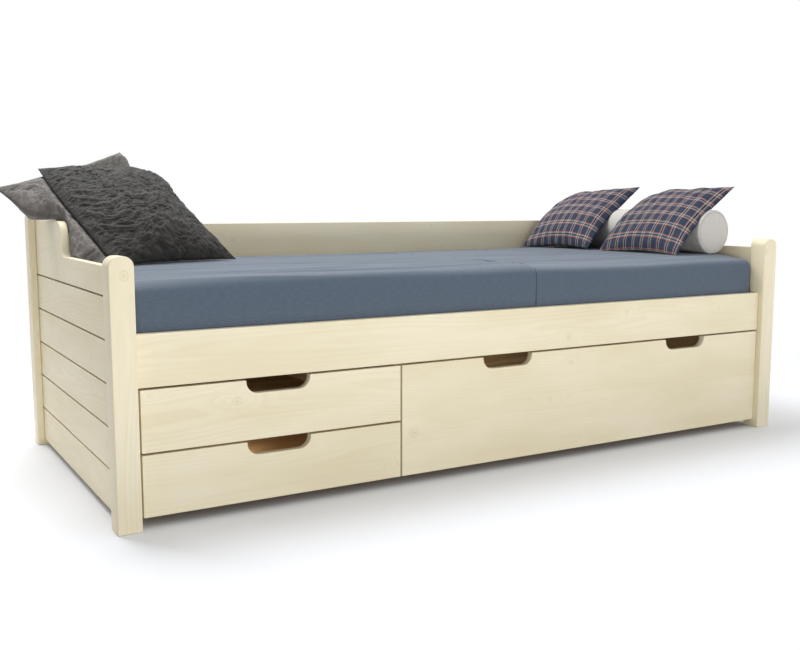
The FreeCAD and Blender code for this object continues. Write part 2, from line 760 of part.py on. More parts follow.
def light_pillow(front_pillow):
    """The pillow in the corner: flattened behind the other one and dented by the end's top edge."""
    middle = Vector(
        -END_INNER + LIGHT_FROM_END,
        BACK_FACE - LIGHT_FROM_BACK,
        MATTRESS_TOP + LIGHT_ABOVE_MATTRESS,
    )
    form = pillow(LIGHT_WIDTH, LIGHT_HEIGHT, LIGHT_FRONT_CROWN, LIGHT_BACK_CROWN)
    form = leaning(form, LIGHT_TURN, LIGHT_LEAN, LIGHT_ROLL, middle)
    base = front_pillow.Placement.Base
    far = 4 * LIGHT_WIDTH
    before = Part.makeBox(far, far, far, Vector(-far / 2, -far / 2, -DARK_BACK_CROWN - SOFT_GAP))
    before.Placement = FreeCAD.Placement(base, front_pillow.Placement.Rotation).multiply(before.Placement)
    top_edge = plan_reach(DARK_HEIGHT / 2, DARK_BACK_CROWN, DARK_LEAN) + SOFT_GAP
    left_edge = -DARK_WIDTH / 2 - SOFT_GAP
    below = Part.makeBox(far, far, far, Vector(left_edge, top_edge - far, -far / 2))
    below.Placement = FreeCAD.Placement(base, FreeCAD.Rotation(UP, DARK_TURN)).multiply(below.Placement)
    pressed = before.common(below)
    slot = box(
        -END_OUTER - SOFT_GAP,
        -END_INNER + SOFT_GAP,
        STEP_Y - SOFT_GAP,
        REAR_Y,
        0,
        END_HIGH_TOP + SOFT_GAP,
    )
    low_slot = box(-END_OUTER - SOFT_GAP, -END_INNER + SOFT_GAP, FRONT_Y, REAR_Y, 0, END_LOW_TOP + SOFT_GAP)
    bed_level = box(-OUTER_X, OUTER_X, FRONT_Y, REAR_Y, 0, MATTRESS_TOP + SOFT_GAP)
    return form.cut([pressed, slot, low_slot, bed_level])


def save_frame():
    for side, word in ((-1, "left"), (1, "right")):
        front = post(side, FRONT_Y, FRONT_POST_HEIGHT)
        front = front.cut([end_housing(side, FRONT_POST_BACK, -1, END_LOW_TOP), rail_tenon(side, WOOD_FIT)])
        save(word + "_front_post", front.cut(bracket_screws(side, SCREW_FIT)))
        rear = post(side, REAR_POST_FRONT, REAR_POST_HEIGHT)
        rear = rear.cut([end_housing(side, REAR_POST_FRONT, 1, END_HIGH_TOP), back_housing(side)])
        save(word + "_rear_post", rear)
        for index in range(PLANK_COUNT):
            plank = end_plank(side, index)
            save(word + "_end_plank_" + str(index + 1), plank.cut(runner_screws(SCREW_FIT)))
    for index in range(PLANK_COUNT):
        save("back_plank_" + str(index + 1), back_plank(index))


def save_base():
    holes = bracket_screws(-1, SCREW_FIT) + bracket_screws(1, SCREW_FIT)
    save("front_rail", front_rail().cut(holes))
    save("front_slat_ledge", slat_ledge(RAIL_BACK, RAIL_BACK + LEDGE_SIZE))
    save("rear_slat_ledge", slat_ledge(BACK_FACE - LEDGE_SIZE, BACK_FACE))
    save("bed_slats", bed_slats())
    save("centre_divider", centre_divider().cut(runner_screws(SCREW_FIT)))
    brackets = [corner_bracket(side).cut(bracket_screws(side, SCREW_FIT)) for side in (-1, 1)]
    save("corner_brackets", Part.makeCompound(brackets))
    save("bracket_screws", Part.makeCompound(bracket_screws(-1, 0) + bracket_screws(1, 0)))


def save_runners():
    holes = runner_screws(SCREW_FIT)
    for name, wall, tip, into, low in all_runners():
        save(name, runner_batten(wall, tip, low).cut(holes))
    save("runner_screws", Part.makeCompound(runner_screws(0)))


def save_bedding():
    left = mattress_section(-MATTRESS_LENGTH / 2, MATTRESS_JOINT_X - MATTRESS_JOINT_GAP / 2)
    right = mattress_section(MATTRESS_JOINT_X + MATTRESS_JOINT_GAP / 2, MATTRESS_LENGTH / 2)
    save("mattress_left", left)
    save("mattress_right", right)
    roll = settle(bolster(), right)
    save("bolster", roll)
    roll_axis_z = roll.BoundBox.ZMin + BOLSTER_RADIUS
    front = plaid_cushion(FRONT_CUSHION_Y, FRONT_CUSHION_TURN, FRONT_CUSHION_ROLL, roll_axis_z)
    rear = plaid_cushion(REAR_CUSHION_Y, REAR_CUSHION_TURN, REAR_CUSHION_ROLL, roll_axis_z)
    save("front_cushion", front)
    save("rear_cushion", rear)
    dark = dark_pillow(left)
    save("dark_pillow", dark)
    save("light_pillow", light_pillow(dark))


os.makedirs("parts", exist_ok=True)
save_frame()
save_base()
save_runners()
for one in drawers():
    save_drawer(one)
save_bedding()
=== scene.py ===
"""Looks of the pine single bed: finishes for its CAD pieces, modelled bedding, floor, light and camera.

Metres, in the CAD frame: X along the bed, the front at -Y, Z up.
"""

import json
import math

import bpy
import numpy as np
from mathutils import Matrix, Vector, noise

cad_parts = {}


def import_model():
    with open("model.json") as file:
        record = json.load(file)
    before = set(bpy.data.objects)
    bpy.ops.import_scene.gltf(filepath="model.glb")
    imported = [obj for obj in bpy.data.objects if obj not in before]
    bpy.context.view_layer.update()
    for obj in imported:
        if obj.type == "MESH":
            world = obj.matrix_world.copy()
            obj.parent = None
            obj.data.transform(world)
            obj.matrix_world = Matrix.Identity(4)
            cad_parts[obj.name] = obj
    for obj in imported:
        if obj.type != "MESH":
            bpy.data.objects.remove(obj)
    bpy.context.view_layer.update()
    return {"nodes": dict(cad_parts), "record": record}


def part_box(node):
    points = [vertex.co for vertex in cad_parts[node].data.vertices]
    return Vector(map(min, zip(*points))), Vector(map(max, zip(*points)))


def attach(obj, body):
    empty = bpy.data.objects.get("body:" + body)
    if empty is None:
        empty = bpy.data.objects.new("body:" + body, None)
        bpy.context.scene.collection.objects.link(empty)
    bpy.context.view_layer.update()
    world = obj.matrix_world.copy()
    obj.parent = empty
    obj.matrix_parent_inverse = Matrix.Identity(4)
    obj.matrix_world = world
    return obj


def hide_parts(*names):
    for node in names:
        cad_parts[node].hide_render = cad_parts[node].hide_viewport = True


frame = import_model()
nodes = frame["nodes"]
scene = bpy.context.scene
SLOTS = {row["node"]: row["material_slot"] for row in frame["record"]["subparts"]}
BODIES = frame["record"]["behaviour"]["bodies"]

# Photograph: image size and the camera that was fitted to it
IMAGE_WIDTH = 800
FOCAL_PIXELS = 961.83
CAMERA_PLACE = (-1.5534, -2.5547, 0.7170)
CAMERA_HEADING = 30.43
CAMERA_PITCH = -7.08
SENSOR = 36.0

# Bed: values of the CAD source that the bedding meets
MATTRESS_TOP = 0.560
END_INNER = 1.018
END_HIGH_TOP = 0.676
END_LOW_TOP = 0.5835
STEP_Y = 0.080
STEP_ROUND = 0.045
STEP_FOOT = 0.012
BACK_FACE = 0.461
BOLSTER_RADIUS = 0.073

# Pillows and cushions: size, thickness before and behind the seam, and angles in degrees. hold keeps the seam
# flat, draw takes the right, top, left and bottom edges in, and thin flattens the lower right.
CUSHION = {
    "width": 0.368, "height": 0.330, "front": 0.052, "back": 0.030, "lean": 38.0, "facing": -91.0,
    "hold": 0.7, "draw": (0.012, 0.016, -0.006, 0.012), "thin": 0.0,
}
DARK = {
    "width": 0.415, "height": 0.420, "front": 0.062, "back": 0.036, "turn": 21.0, "lean": 35.5,
    "hold": 0.85, "draw": (0.030, -0.015, -0.014, 0.006), "thin": 0.34,
}
LIGHT = {
    "width": 0.437, "height": 0.432, "front": 0.052, "back": 0.066, "turn": 1.8, "lean": 31.3, "roll": 28.8,
    "hold": 0.9, "draw": (0.026, 0.020, 0.0, 0.012), "thin": 0.0,
}
LIGHT_PLACE = (0.160 - END_INNER, BACK_FACE - 0.251, MATTRESS_TOP + 0.166)
SOFT_CLEAR = 0.0008


def rgb(*values):
    """Linear colour, with alpha, of red, green and blue written in 0 to 255."""
    given = (value / 255 for value in values)
    return (*(s / 12.92 if s <= 0.04045 else ((s + 0.055) / 1.055) ** 2.4 for s in given), 1.0)


def settle(item, **settings):
    """Sets attributes of an item and returns it."""
    for key, value in settings.items():
        setattr(item, key, value)
    return item


def placed(name, data):
    """An object with the given data, in the scene."""
    piece = bpy.data.objects.new(name, data)
    scene.collection.objects.link(piece)
    return piece


class Graph:
    """Short ways to add and join shader nodes in one tree."""

    def __init__(self, tree):
        self.tree = tree

    def node(self, kind, **settings):
        return settle(self.tree.nodes.new("ShaderNode" + kind), **settings)

    def feed(self, socket, value):
        if isinstance(value, bpy.types.NodeSocket):
            self.tree.links.new(value, socket)
        else:
            socket.default_value = value

    def fill(self, node, values):
        """Feeds inputs of a node by their names."""
        for name, value in values.items():
            self.feed(node.inputs[name], value)

    def result(self, kind, values, output=0, **settings):
        """Adds a node, feeds its inputs in order, and returns one output."""
        made = self.node(kind, **settings)
        for socket, value in zip(made.inputs, values):
            self.feed(socket, value)
        return made.outputs[output]

    def math(self, operation, *values):
        return self.result("Math", values, operation=operation)

    def plus(self, one, two):
        return self.math("ADD", one, two)

    def minus(self, one, two):
        return self.math("SUBTRACT", one, two)

    def times(self, one, two):
        return self.math("MULTIPLY", one, two)

    def over(self, one, two):
        return self.math("DIVIDE", one, two)

    def times_plus(self, one, two, three):
        return self.math("MULTIPLY_ADD", one, two, three)

    def vector(self, operation, *values):
        output = "Value" if operation == "LENGTH" else "Vector"
        return self.result("VectorMath", values, output, operation=operation)

    def split(self, vector):
        made = self.node("SeparateXYZ")
        self.feed(made.inputs[0], vector)
        return tuple(made.outputs)

    def join(self, *parts):
        """A vector of three parts. A part (value, factor) is multiplied first."""
        return self.result("CombineXYZ", [self.times(*p) if isinstance(p, tuple) else p for p in parts])

    def noise(self, vector, scale=1.0, detail=2.0, roughness=0.5, distortion=0.0):
        made = self.node("TexNoise")
        words = ("Vector", "Scale", "Detail", "Roughness", "Distortion")
        self.fill(made, dict(zip(words, (vector, scale, detail, roughness, distortion))))
        return made.outputs[0]

    def smooth(self, value, low, high, to_high=1.0, to_low=0.0):
        """A soft step from low to high, which may be the greater one."""
        return self.result("MapRange", (value, low, high, to_low, to_high), interpolation_type="SMOOTHSTEP")

    def between(self, value, low, high):
        """Maps 0 to 1 onto low to high."""
        return self.result("MapRange", (value, 0.0, 1.0, low, high))

    def mix(self, factor, first, second):
        made = self.node("Mix", data_type="RGBA")
        for index, value in ((0, factor), (6, first), (7, second)):
            self.feed(made.inputs[index], value)
        return made.outputs[2]

    def bump(self, height, strength, distance, normal=None):
        made = self.node("Bump")
        self.fill(made, {"Height": height, "Strength": strength, "Distance": distance})
        if normal is not None:
            self.feed(made.inputs["Normal"], normal)
        return made.outputs[0]

    def rays(self):
        """Whether a ray is the camera's, and whether it shows the background, as glossy ones do too."""
        path = self.node("LightPath").outputs
        mirrored = self.math("MAXIMUM", path["Is Glossy Ray"], path["Is Transmission Ray"])
        return path["Is Camera Ray"], self.math("MAXIMUM", path["Is Camera Ray"], mirrored)


def new_material(name):
    material = bpy.data.materials.new(name)
    material.use_nodes = True
    graph = Graph(material.node_tree)
    return material, graph, material.node_tree.nodes["Principled BSDF"]


# Wood

RING_PITCH = 0.0072
HEART_DEPTH = 0.055
KNOT_FLAME = (7, 2.1)
KNOT_LONG = 1.25
KNOT_SWIRL = 3.2
# Near-black colours of the end planks' tongues: painted shade in the grooves between the planks.
TONGUE_SHADE = (rgb(32, 26, 18), rgb(54, 43, 30))
GRAIN_ORDER = {"X": (0, 2, 1), "Y": (1, 2, 0), "Z": (2, 0, 1)}
STAINED = {
    "light": rgb(246, 237, 210), "mid": rgb(238, 226, 193), "streak": rgb(219, 199, 155),
    "fibre": rgb(229, 213, 175), "halo": rgb(248, 240, 217), "rim": rgb(208, 196, 152),
    "core": rgb(178, 172, 128), "depth": 0.17, "rough": (0.40, 0.55),
}
RAW = {
    "light": rgb(238, 216, 174), "mid": rgb(228, 202, 156), "streak": rgb(202, 164, 112),
    "fibre": rgb(214, 182, 132), "halo": rgb(236, 212, 168), "rim": rgb(126, 84, 46),
    "core": rgb(98, 62, 34), "depth": 0.75, "rough": (0.58, 0.74),
}


def grain_group():
    """Growth rings of a board cut beside the heart, its fine fibres, and slow changes of tone."""
    tree = bpy.data.node_groups.new("PineGrain", "ShaderNodeTree")
    for name, kind in (("Vector", "Vector"), ("Seed", "Float"), ("Knot", "Float")):
        tree.interface.new_socket(name, in_out="INPUT", socket_type="NodeSocket" + kind)
    for name in ("Rings", "Fibre", "Blotch"):
        tree.interface.new_socket(name, in_out="OUTPUT", socket_type="NodeSocketFloat")
    g = Graph(tree)
    given = tree.nodes.new("NodeGroupInput").outputs
    along, across, depth = g.split(given["Vector"])
    seed = given["Seed"]
    drift = g.noise(g.join((along, 1.1), seed, 0.0), 1.0, 1.0)
    heart_across = g.plus(across, g.times(g.minus(drift, 0.5), 0.16))
    sink = g.noise(g.join((along, 0.8), 7.3, seed), 1.0, 1.0)
    heart_depth = g.plus(depth, g.between(sink, HEART_DEPTH * 0.3, HEART_DEPTH * 1.7))
    radius = g.vector("LENGTH", g.join(heart_across, heart_depth, 0.0))
    shifted = g.plus(across, seed)
    warp_at = g.join((along, 2.3), (shifted, 16.0), depth)
    warp = g.times(g.minus(g.noise(warp_at, 1.0, 3.0), 0.5), 1.7)
    saw = g.math("FRACT", g.plus(g.over(radius, RING_PITCH), g.plus(warp, given["Knot"])))
    late = g.times(g.smooth(saw, 0.25, 0.86), g.smooth(saw, 1.0, 0.88))
    strength_at = g.join((along, 1.7), (shifted, 9.0), 3.1)
    strength = g.smooth(g.noise(strength_at), 0.32, 0.68, 1.0, 0.25)
    fibre_at = g.join((along, 9.0), (shifted, 620.0), (depth, 620.0))
    blotch_at = g.join((along, 2.1), (shifted, 8.0), (depth, 8.0))
    g.fill(tree.nodes.new("NodeGroupOutput"), {
        "Rings": g.times(late, strength),
        "Fibre": g.noise(fibre_at, 1.0, 3.0, 0.6),
        "Blotch": g.noise(blotch_at, 1.0, 4.0, 0.55),
    })
    return tree


GRAIN = grain_group()


def pine(name, axis, centre, seed, look, knots, tongue):
    """Pine with its grain along one axis. A knot is (place along, place across, radius), from the centre.

    A tongue, from its place across, is coloured near black: painted shade in the groove between the planks.
    """
    material, g, shader = new_material(name)
    local = g.vector("SUBTRACT", g.node("TexCoord").outputs["Object"], centre)
    parts = g.split(local)
    along, across, depth = (parts[index] for index in GRAIN_ORDER[axis])
    swirl = 0.0
    marks = []
    for knot_along, knot_across, radius in knots:
        off_along = g.minus(along, knot_along)
        off_across = g.minus(across, knot_across)

        def reach(long, wide):
            off = g.join(g.over(off_along, radius * long), g.over(off_across, radius * wide), 0.0)
            return g.vector("LENGTH", off)

        flame = reach(*KNOT_FLAME)
        lobe = g.math("EXPONENT", g.times(g.times(flame, flame), -1.0))
        swirl = g.times_plus(lobe, KNOT_SWIRL, swirl)
        ragged = g.noise(local, 160.0)
        marks.append((g.times_plus(ragged, 0.5, g.minus(reach(KNOT_LONG, 1), 0.25)), lobe))
    grain = g.node("Group", node_tree=GRAIN)
    g.fill(grain, {"Vector": g.join(along, across, depth), "Seed": seed, "Knot": swirl})
    rings, fibre, blotch = (grain.outputs[word] for word in ("Rings", "Fibre", "Blotch"))
    colour = g.mix(g.smooth(blotch, 0.3, 0.7), look["light"], look["mid"])
    colour = g.mix(g.times(rings, look["depth"]), colour, look["streak"])
    colour = g.mix(g.smooth(fibre, 0.5, 0.85, 0.4), colour, look["fibre"])
    for core, lobe in marks:
        colour = g.mix(g.times(lobe, 0.2), colour, look["halo"])
        rim = g.times(g.smooth(core, 0.62, 0.9), g.smooth(core, 1.25, 0.95))
        colour = g.mix(g.times(rim, 0.3), colour, look["rim"])
        colour = g.mix(g.smooth(core, 0.75, 0.15, 0.22), colour, look["core"])
    if tongue is not None:
        # Painted shade: the tongue, deep in the groove, is coloured near black.
        colour = g.mix(g.math("GREATER_THAN", across, tongue), colour, g.mix(fibre, *TONGUE_SHADE))
    g.fill(shader, {
        "Base Color": colour,
        "Roughness": g.between(fibre, *look["rough"]),
        "Specular IOR Level": 0.22,
        "Normal": g.bump(g.times_plus(rings, 0.35, fibre), 0.30, 0.0005),
    })
    return material


def plywood(name, centre, seed):
    """Thin birch ply: wide calm veneer figure and pale edges."""
    material, g, shader = new_material(name)
    x, y, _ = g.split(g.vector("SUBTRACT", g.node("TexCoord").outputs["Object"], centre))
    figure = g.noise(g.join((x, 1.6), g.times_plus(y, 11.0, seed), 0.0), 1.0, 5.0, 0.6, 0.8)
    fibre = g.noise(g.join((x, 12.0), (y, 500.0), seed))
    colour = g.mix(g.smooth(figure, 0.35, 0.65), rgb(205, 176, 132), rgb(186, 152, 104))
    g.fill(shader, {
        "Base Color": g.mix(g.smooth(fibre, 0.5, 0.8, 0.5), colour, rgb(162, 126, 82)),
        "Roughness": g.between(fibre, 0.6, 0.78),
        "Normal": g.bump(fibre, 0.25, 0.0004),
    })
    return material


def zinc_steel():
    """Zinc-plated steel with a fine spangle and dulled patches."""
    material, g, shader = new_material("zinc_steel")
    at = g.node("TexCoord").outputs["Object"]
    spangle = g.noise(at, 420.0, 3.0, 0.6)
    patches = g.noise(at, 60.0, 3.0)
    colour = g.mix(g.smooth(patches, 0.35, 0.7), rgb(205, 206, 210), rgb(170, 172, 178))
    g.fill(shader, {
        "Base Color": g.mix(g.smooth(spangle, 0.4, 0.7, 0.3), colour, rgb(226, 228, 232)),
        "Roughness": g.between(spangle, 0.28, 0.5),
        "Metallic": 1.0,
        "Normal": g.bump(spangle, 0.15, 0.0002),
    })
    return material


# Knots that show in the photograph, and a few on hidden boards, in millimetres: X or Y along, Z up, radius
KNOTS = {
    "left_front_post": [(-1026, 568, 9)],
    "right_front_post": [(1012, 570, 7)],
    "left_rear_post": [(-1035, 335, 9)],
    "right_rear_post": [(1024, 220, 8)],
    "upper_drawer_front": [(-771, 268, 9), (-975, 301, 4)],
    "lower_drawer_front": [(-340, 62, 5)],
    "large_drawer_front": [(-292, 135, 11), (228, 277, 7), (154, 178, 7), (272, 54, 4)],
    "front_rail": [(219, 349, 8), (436, 408, 6), (824, 402, 5)],
    "left_end_plank_6": [(225, 573, 7)],
    "left_end_plank_4": [(-215, 357, 7)],
    "left_end_plank_3": [(-223, 285, 5), (330, 245, 6)],
    "left_end_plank_2": [(308, 145, 6)],
    "left_end_plank_1": [(-257, 59, 7), (360, 49, 4)],
    "right_end_plank_5": [(120, 468, 7)],
    "right_end_plank_4": [(-285, 372, 6), (214, 360, 5)],
    "right_end_plank_2": [(30, 166, 8)],
    "right_end_plank_1": [(-180, 70, 5)],
    "back_plank_6": [(351, 646, 6), (399, 571, 6), (-420, 604, 7)],
    "back_plank_5": [(-120, 470, 8), (710, 448, 6)],
    "back_plank_4": [(-690, 372, 7), (260, 352, 9)],
    "back_plank_3": [(545, 262, 8)],
    "back_plank_2": [(-330, 158, 8), (820, 172, 6)],
    "back_plank_1": [(80, 66, 7)],
}
GRAIN_AXIS = {
    "X": ("back_plank", "front_rail", "ledge", "drawer_front", "drawer_back"),
    "Y": ("end_plank", "slats", "divider", "_side", "_runner"),
    "Z": ("post",),
}
SEED_STEP = 0.731
TONGUE_RISE = 0.0102
POST_EDGE = 0.0026
BOARD_EDGE = 0.0010
RAW_EDGE = 0.0008


def board_pine(name, centre, seed, look):
    """Pine for one board, with its knots and, on the lower planks of the ends, its tongue."""
    axis = next(axis for axis, words in GRAIN_AXIS.items() if any(word in name for word in words))
    order = GRAIN_ORDER[axis]
    knots = []
    for knot in KNOTS.get(name, ()):
        along, up, radius = (value / 1000 for value in knot)
        place = (up, along) if axis == "Z" else (along, up)
        knots.append((place[0] - centre[order[0]], place[1] - centre[order[1]], radius))
    tongue = None
    if "end_plank" in name and not name.endswith("6"):
        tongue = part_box(name)[1].z - centre.z - TONGUE_RISE
    return pine("pine_" + name, axis, centre, seed, look, knots, tongue)


def soften_edges(piece, width, segments):
    """Rounds the edges of a CAD piece in its modifiers, after the facets of flat faces are joined."""
    settle(piece.modifiers.new("weld", "WELD"), merge_threshold=1e-5)
    flat = piece.modifiers.new("flat_faces", "DECIMATE")
    settle(flat, decimate_type="DISSOLVE", angle_limit=math.radians(0.6))
    bevel = piece.modifiers.new("soft_edges", "BEVEL")
    settle(bevel, width=width, segments=segments, limit_method="ANGLE", angle_limit=math.radians(38))
    settle(bevel, use_clamp_overlap=False, harden_normals=True)


def finish_frame():
    """Gives the wood and steel pieces of the CAD their materials and soft edges."""
    steel = zinc_steel()
    for number, name in enumerate(sorted(nodes)):
        piece = nodes[name]
        slot = SLOTS[name]
        low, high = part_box(name)
        centre = (low + high) / 2
        seed = SEED_STEP * (number + 1)
        if slot == "stained_pine":
            material = board_pine(name, centre, seed, STAINED)
            soften_edges(piece, POST_EDGE if "post" in name else BOARD_EDGE, 3)
        elif slot == "raw_pine":
            material = board_pine(name, centre, seed, RAW)
            soften_edges(piece, RAW_EDGE, 2)
        elif slot == "drawer_ply":
            material = plywood("ply_" + name, centre, seed)
        elif slot == "zinc_steel":
            material = steel
        else:
            continue
        piece.data.materials.clear()
        piece.data.materials.append(material)


finish_frame()


# Cloth


def cloth_uv(g):
    """Place on the cloth: metres across, up and from the seam. On a mattress the third is 1 on its top."""
    return g.split(g.node("Attribute", attribute_name="cloth").outputs["Vector"])


def weave(g, across, up, pitch):
    """Height of a plain weave: threads over and under each other."""
    turn = 2 * math.pi / pitch
    one = g.math("SINE", g.times(across, turn))
    two = g.math("SINE", g.times(up, turn))
    return g.times_plus(g.times(one, two), 0.5, 0.5)


def slubs(g, across, up, fine):
    """Uneven yarn: short streaks along both thread directions."""
    long = g.noise(g.join((across, 14.0), (up, fine), 0.0))
    short = g.noise(g.join((across, fine), (up, 14.0), 5.0))
    return g.times(g.plus(long, short), 0.5)


def mattress_cloth():
    """Blue-grey cotton with level threads, and on its top long paler and darker streaks: painted highlight
    and painted shade of folds.
    """
    material, g, shader = new_material("mattress_cloth")
    across, up, top = cloth_uv(g)
    yarn = g.noise(g.join((across, 60.0), (up, 430.0), 0.0))
    speck = g.noise(g.join(across, up, 3.0), 300.0)
    streak = g.noise(g.join((across, 1.1), (up, 23.0), 7.0), 1.0, 3.0, 0.55)
    thread = weave(g, across, up, 0.0017)
    colour = g.mix(g.smooth(yarn, 0.36, 0.64), rgb(87, 98, 112), rgb(94, 106, 120))
    # Long streaks on the top only: painted highlight on fold crests, then painted shade in fold hollows.
    colour = g.mix(g.times(g.smooth(streak, 0.45, 0.70, 0.8), top), colour, rgb(114, 124, 136))
    colour = g.mix(g.times(g.smooth(streak, 0.46, 0.30, 0.6), top), colour, rgb(72, 83, 97))
    colour = g.mix(g.smooth(speck, 0.45, 0.75, 0.35), colour, rgb(74, 85, 98))
    g.fill(shader, {
        "Base Color": g.mix(g.times(thread, 0.15), colour, rgb(66, 76, 88)),
        "Roughness": g.between(yarn, 0.78, 0.95),
        "Sheen Weight": 0.5, "Sheen Roughness": 0.45, "Sheen Tint": rgb(214, 220, 228),
        "Specular IOR Level": 0.2,
        "Normal": g.bump(g.times_plus(thread, 0.6, yarn), 0.35, 0.0006),
    })
    return material


def crushed_cloth(name, dark, mid, light, seed):
    """Crinkled cloth with a painted highlight on the crests of its creases and painted shade in their hollows
    and along crease lines.
    """
    material, g, shader = new_material(name)
    across, up, seam = cloth_uv(g)
    at = g.join(across, up, seed)
    swirl = g.join(0.0, (g.noise(at, 9.0), 0.03), 0.0)
    creased = g.noise(g.vector("ADD", at, swirl), 62.0, 4.0, 0.6, 0.7)
    crease = g.math("ABSOLUTE", g.minus(creased, 0.5))
    tone = g.noise(at, 16.0, 3.0)
    crest = g.node("Attribute", attribute_name="crease").outputs["Fac"]
    colour = g.mix(g.smooth(tone, 0.3, 0.7, 0.35), mid, dark)
    # Painted shade in the hollows of the mesh's creases, a painted highlight on their crests, then painted
    # shade along finer crease lines.
    colour = g.mix(g.smooth(crest, 0.45, 0.1), colour, dark)
    colour = g.mix(g.smooth(crest, 0.5, 0.95, 0.8), colour, light)
    colour = g.mix(g.smooth(crease, 0.04, 0.0, 0.4), colour, dark)
    fine = g.bump(weave(g, across, up, 0.0012), 0.15, 0.0004)
    g.fill(shader, {
        "Base Color": g.mix(g.smooth(seam, 0.0035, 0.0015, 0.4), colour, dark),
        "Roughness": g.between(creased, 0.55, 0.8),
        "Sheen Weight": 0.12, "Sheen Roughness": 0.4, "Specular IOR Level": 0.3,
        "Normal": g.bump(g.smooth(crease, 0.0, 0.11), 0.55, 0.0022, fine),
    })
    return material


# Lines of the plaid, each with its middle and half width in shares of the pitch
PLAID_UPRIGHT = (
    (0.000, 0.066, rgb(18, 22, 32)), (0.098, 0.023, rgb(226, 226, 216)), (0.174, 0.015, rgb(255, 146, 84)),
)
PLAID_LEVEL = (
    (0.000, 0.062, rgb(58, 80, 100)), (0.092, 0.020, rgb(220, 221, 212)), (0.160, 0.014, rgb(255, 146, 84)),
)
PLAID_PITCH = (0.0385, 0.0450)
PLAID_SOFT = 0.008
PLAID_GROUND = rgb(50, 63, 84)
PLAID_SHADE = rgb(24, 32, 50)
TWILL_PITCH = 0.0022


def stripes(g, place, pitch, lines):
    """Thread colours of one direction of the plaid, mirrored about the middle of each group of lines."""
    share = g.math("ABSOLUTE", g.minus(g.math("FRACT", g.over(place, pitch)), 0.5))
    colour = PLAID_GROUND
    for middle, half, line_colour in lines:
        off = g.math("ABSOLUTE", g.minus(share, middle))
        colour = g.mix(g.smooth(off, half + PLAID_SOFT, half - PLAID_SOFT), colour, line_colour)
    return colour


def plaid_cloth(name, shift):
    """Traditional plaid: two sets of coloured threads crossing in a twill."""
    material, g, shader = new_material(name)
    across, up, seam = cloth_uv(g)
    yarn = slubs(g, across, up, 420.0)
    twill = g.math("SINE", g.times(g.plus(across, up), 2 * math.pi / TWILL_PITCH))
    upright = stripes(g, g.plus(across, shift[0]), PLAID_PITCH[0], PLAID_UPRIGHT)
    level = stripes(g, g.plus(up, shift[1]), PLAID_PITCH[1], PLAID_LEVEL)
    colour = g.mix(g.times_plus(twill, 0.22, 0.5), upright, level)
    colour = g.mix(g.smooth(yarn, 0.38, 0.62, 0.25), colour, PLAID_SHADE)
    g.fill(shader, {
        "Base Color": g.mix(g.smooth(seam, 0.0030, 0.0010, 0.5), colour, PLAID_SHADE),
        "Roughness": g.between(yarn, 0.75, 0.92),
        "Sheen Weight": 0.04, "Sheen Roughness": 0.5, "Specular IOR Level": 0.2,
        "Normal": g.bump(g.times_plus(twill, 0.4, yarn), 0.3, 0.0006),
    })
    return material


def bolster_cloth():
    """Pale plain weave, darker in the seams of the end discs."""
    material, g, shader = new_material("bolster_cloth")
    across, up, seam = cloth_uv(g)
    yarn = slubs(g, across, up, 360.0)
    thread = weave(g, across, up, 0.0016)
    colour = g.mix(g.smooth(yarn, 0.36, 0.64), rgb(203, 199, 193), rgb(210, 206, 200))
    colour = g.mix(g.times(thread, 0.12), colour, rgb(184, 180, 174))
    g.fill(shader, {
        "Base Color": g.mix(g.smooth(seam, 0.0020, 0.0004, 0.45), colour, rgb(140, 136, 130)),
        "Roughness": g.between(yarn, 0.8, 0.95),
        "Sheen Weight": 0.2, "Specular IOR Level": 0.2,
        "Normal": g.bump(g.times_plus(thread, 0.5, yarn), 0.25, 0.0005),
    })
    return material


def cloth_mesh(name, points, faces, cloth):
    """A mesh whose points know their place on the cloth."""
    mesh = bpy.data.meshes.new(name)
    mesh.from_pydata([tuple(p) for p in points], [], [tuple(f) for f in faces])
    held = mesh.attributes.new("cloth", "FLOAT_VECTOR", "POINT")
    held.data.foreach_set("vector", np.asarray(cloth, np.float32).ravel())
    return mesh


def soft_piece(node, points, faces, cloth, material, crease=None):
    """A closed mesh of bedding that stands for a CAD node."""
    mesh = cloth_mesh(node + "_cover", points, faces, cloth)
    if crease is not None:
        held = mesh.attributes.new("crease", "FLOAT", "POINT")
        held.data.foreach_set("value", np.asarray(crease, np.float32))
    mesh.polygons.foreach_set("use_smooth", [True] * len(mesh.polygons))
    mesh.materials.append(material)
    piece = placed(node + "_cover", mesh)
    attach(piece, next(body for body, members in BODIES.items() if node in members))
    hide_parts(node)


def within(value):
    """Holds values between 0 and 1."""
    return np.clip(value, 0, 1)


def eased(value):
    """A soft step from 0 to 1, for values from 0 to 1."""
    held = within(value)
    return held * held * (3 - 2 * held)


# Mattress

MATTRESS_CELLS = (150, 200, 30)
MATTRESS_EDGE = {-1: (0.044, 0.044, 0.016), 1: (0.044, 0.044, 0.036)}
MATTRESS_CROWN = 0.004
MATTRESS_BELLY = 0.0012
JOINT_EDGE = 0.0008
JOINT_REACH = 0.00095
SLAT_CLEAR = 0.0006
BOLSTER_BED = 0.0012
ROLL_LOW, ROLL_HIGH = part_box("bolster")
ROLL_X = (ROLL_LOW.x + ROLL_HIGH.x) / 2
ROLL_Z = (ROLL_LOW.z + ROLL_HIGH.z) / 2


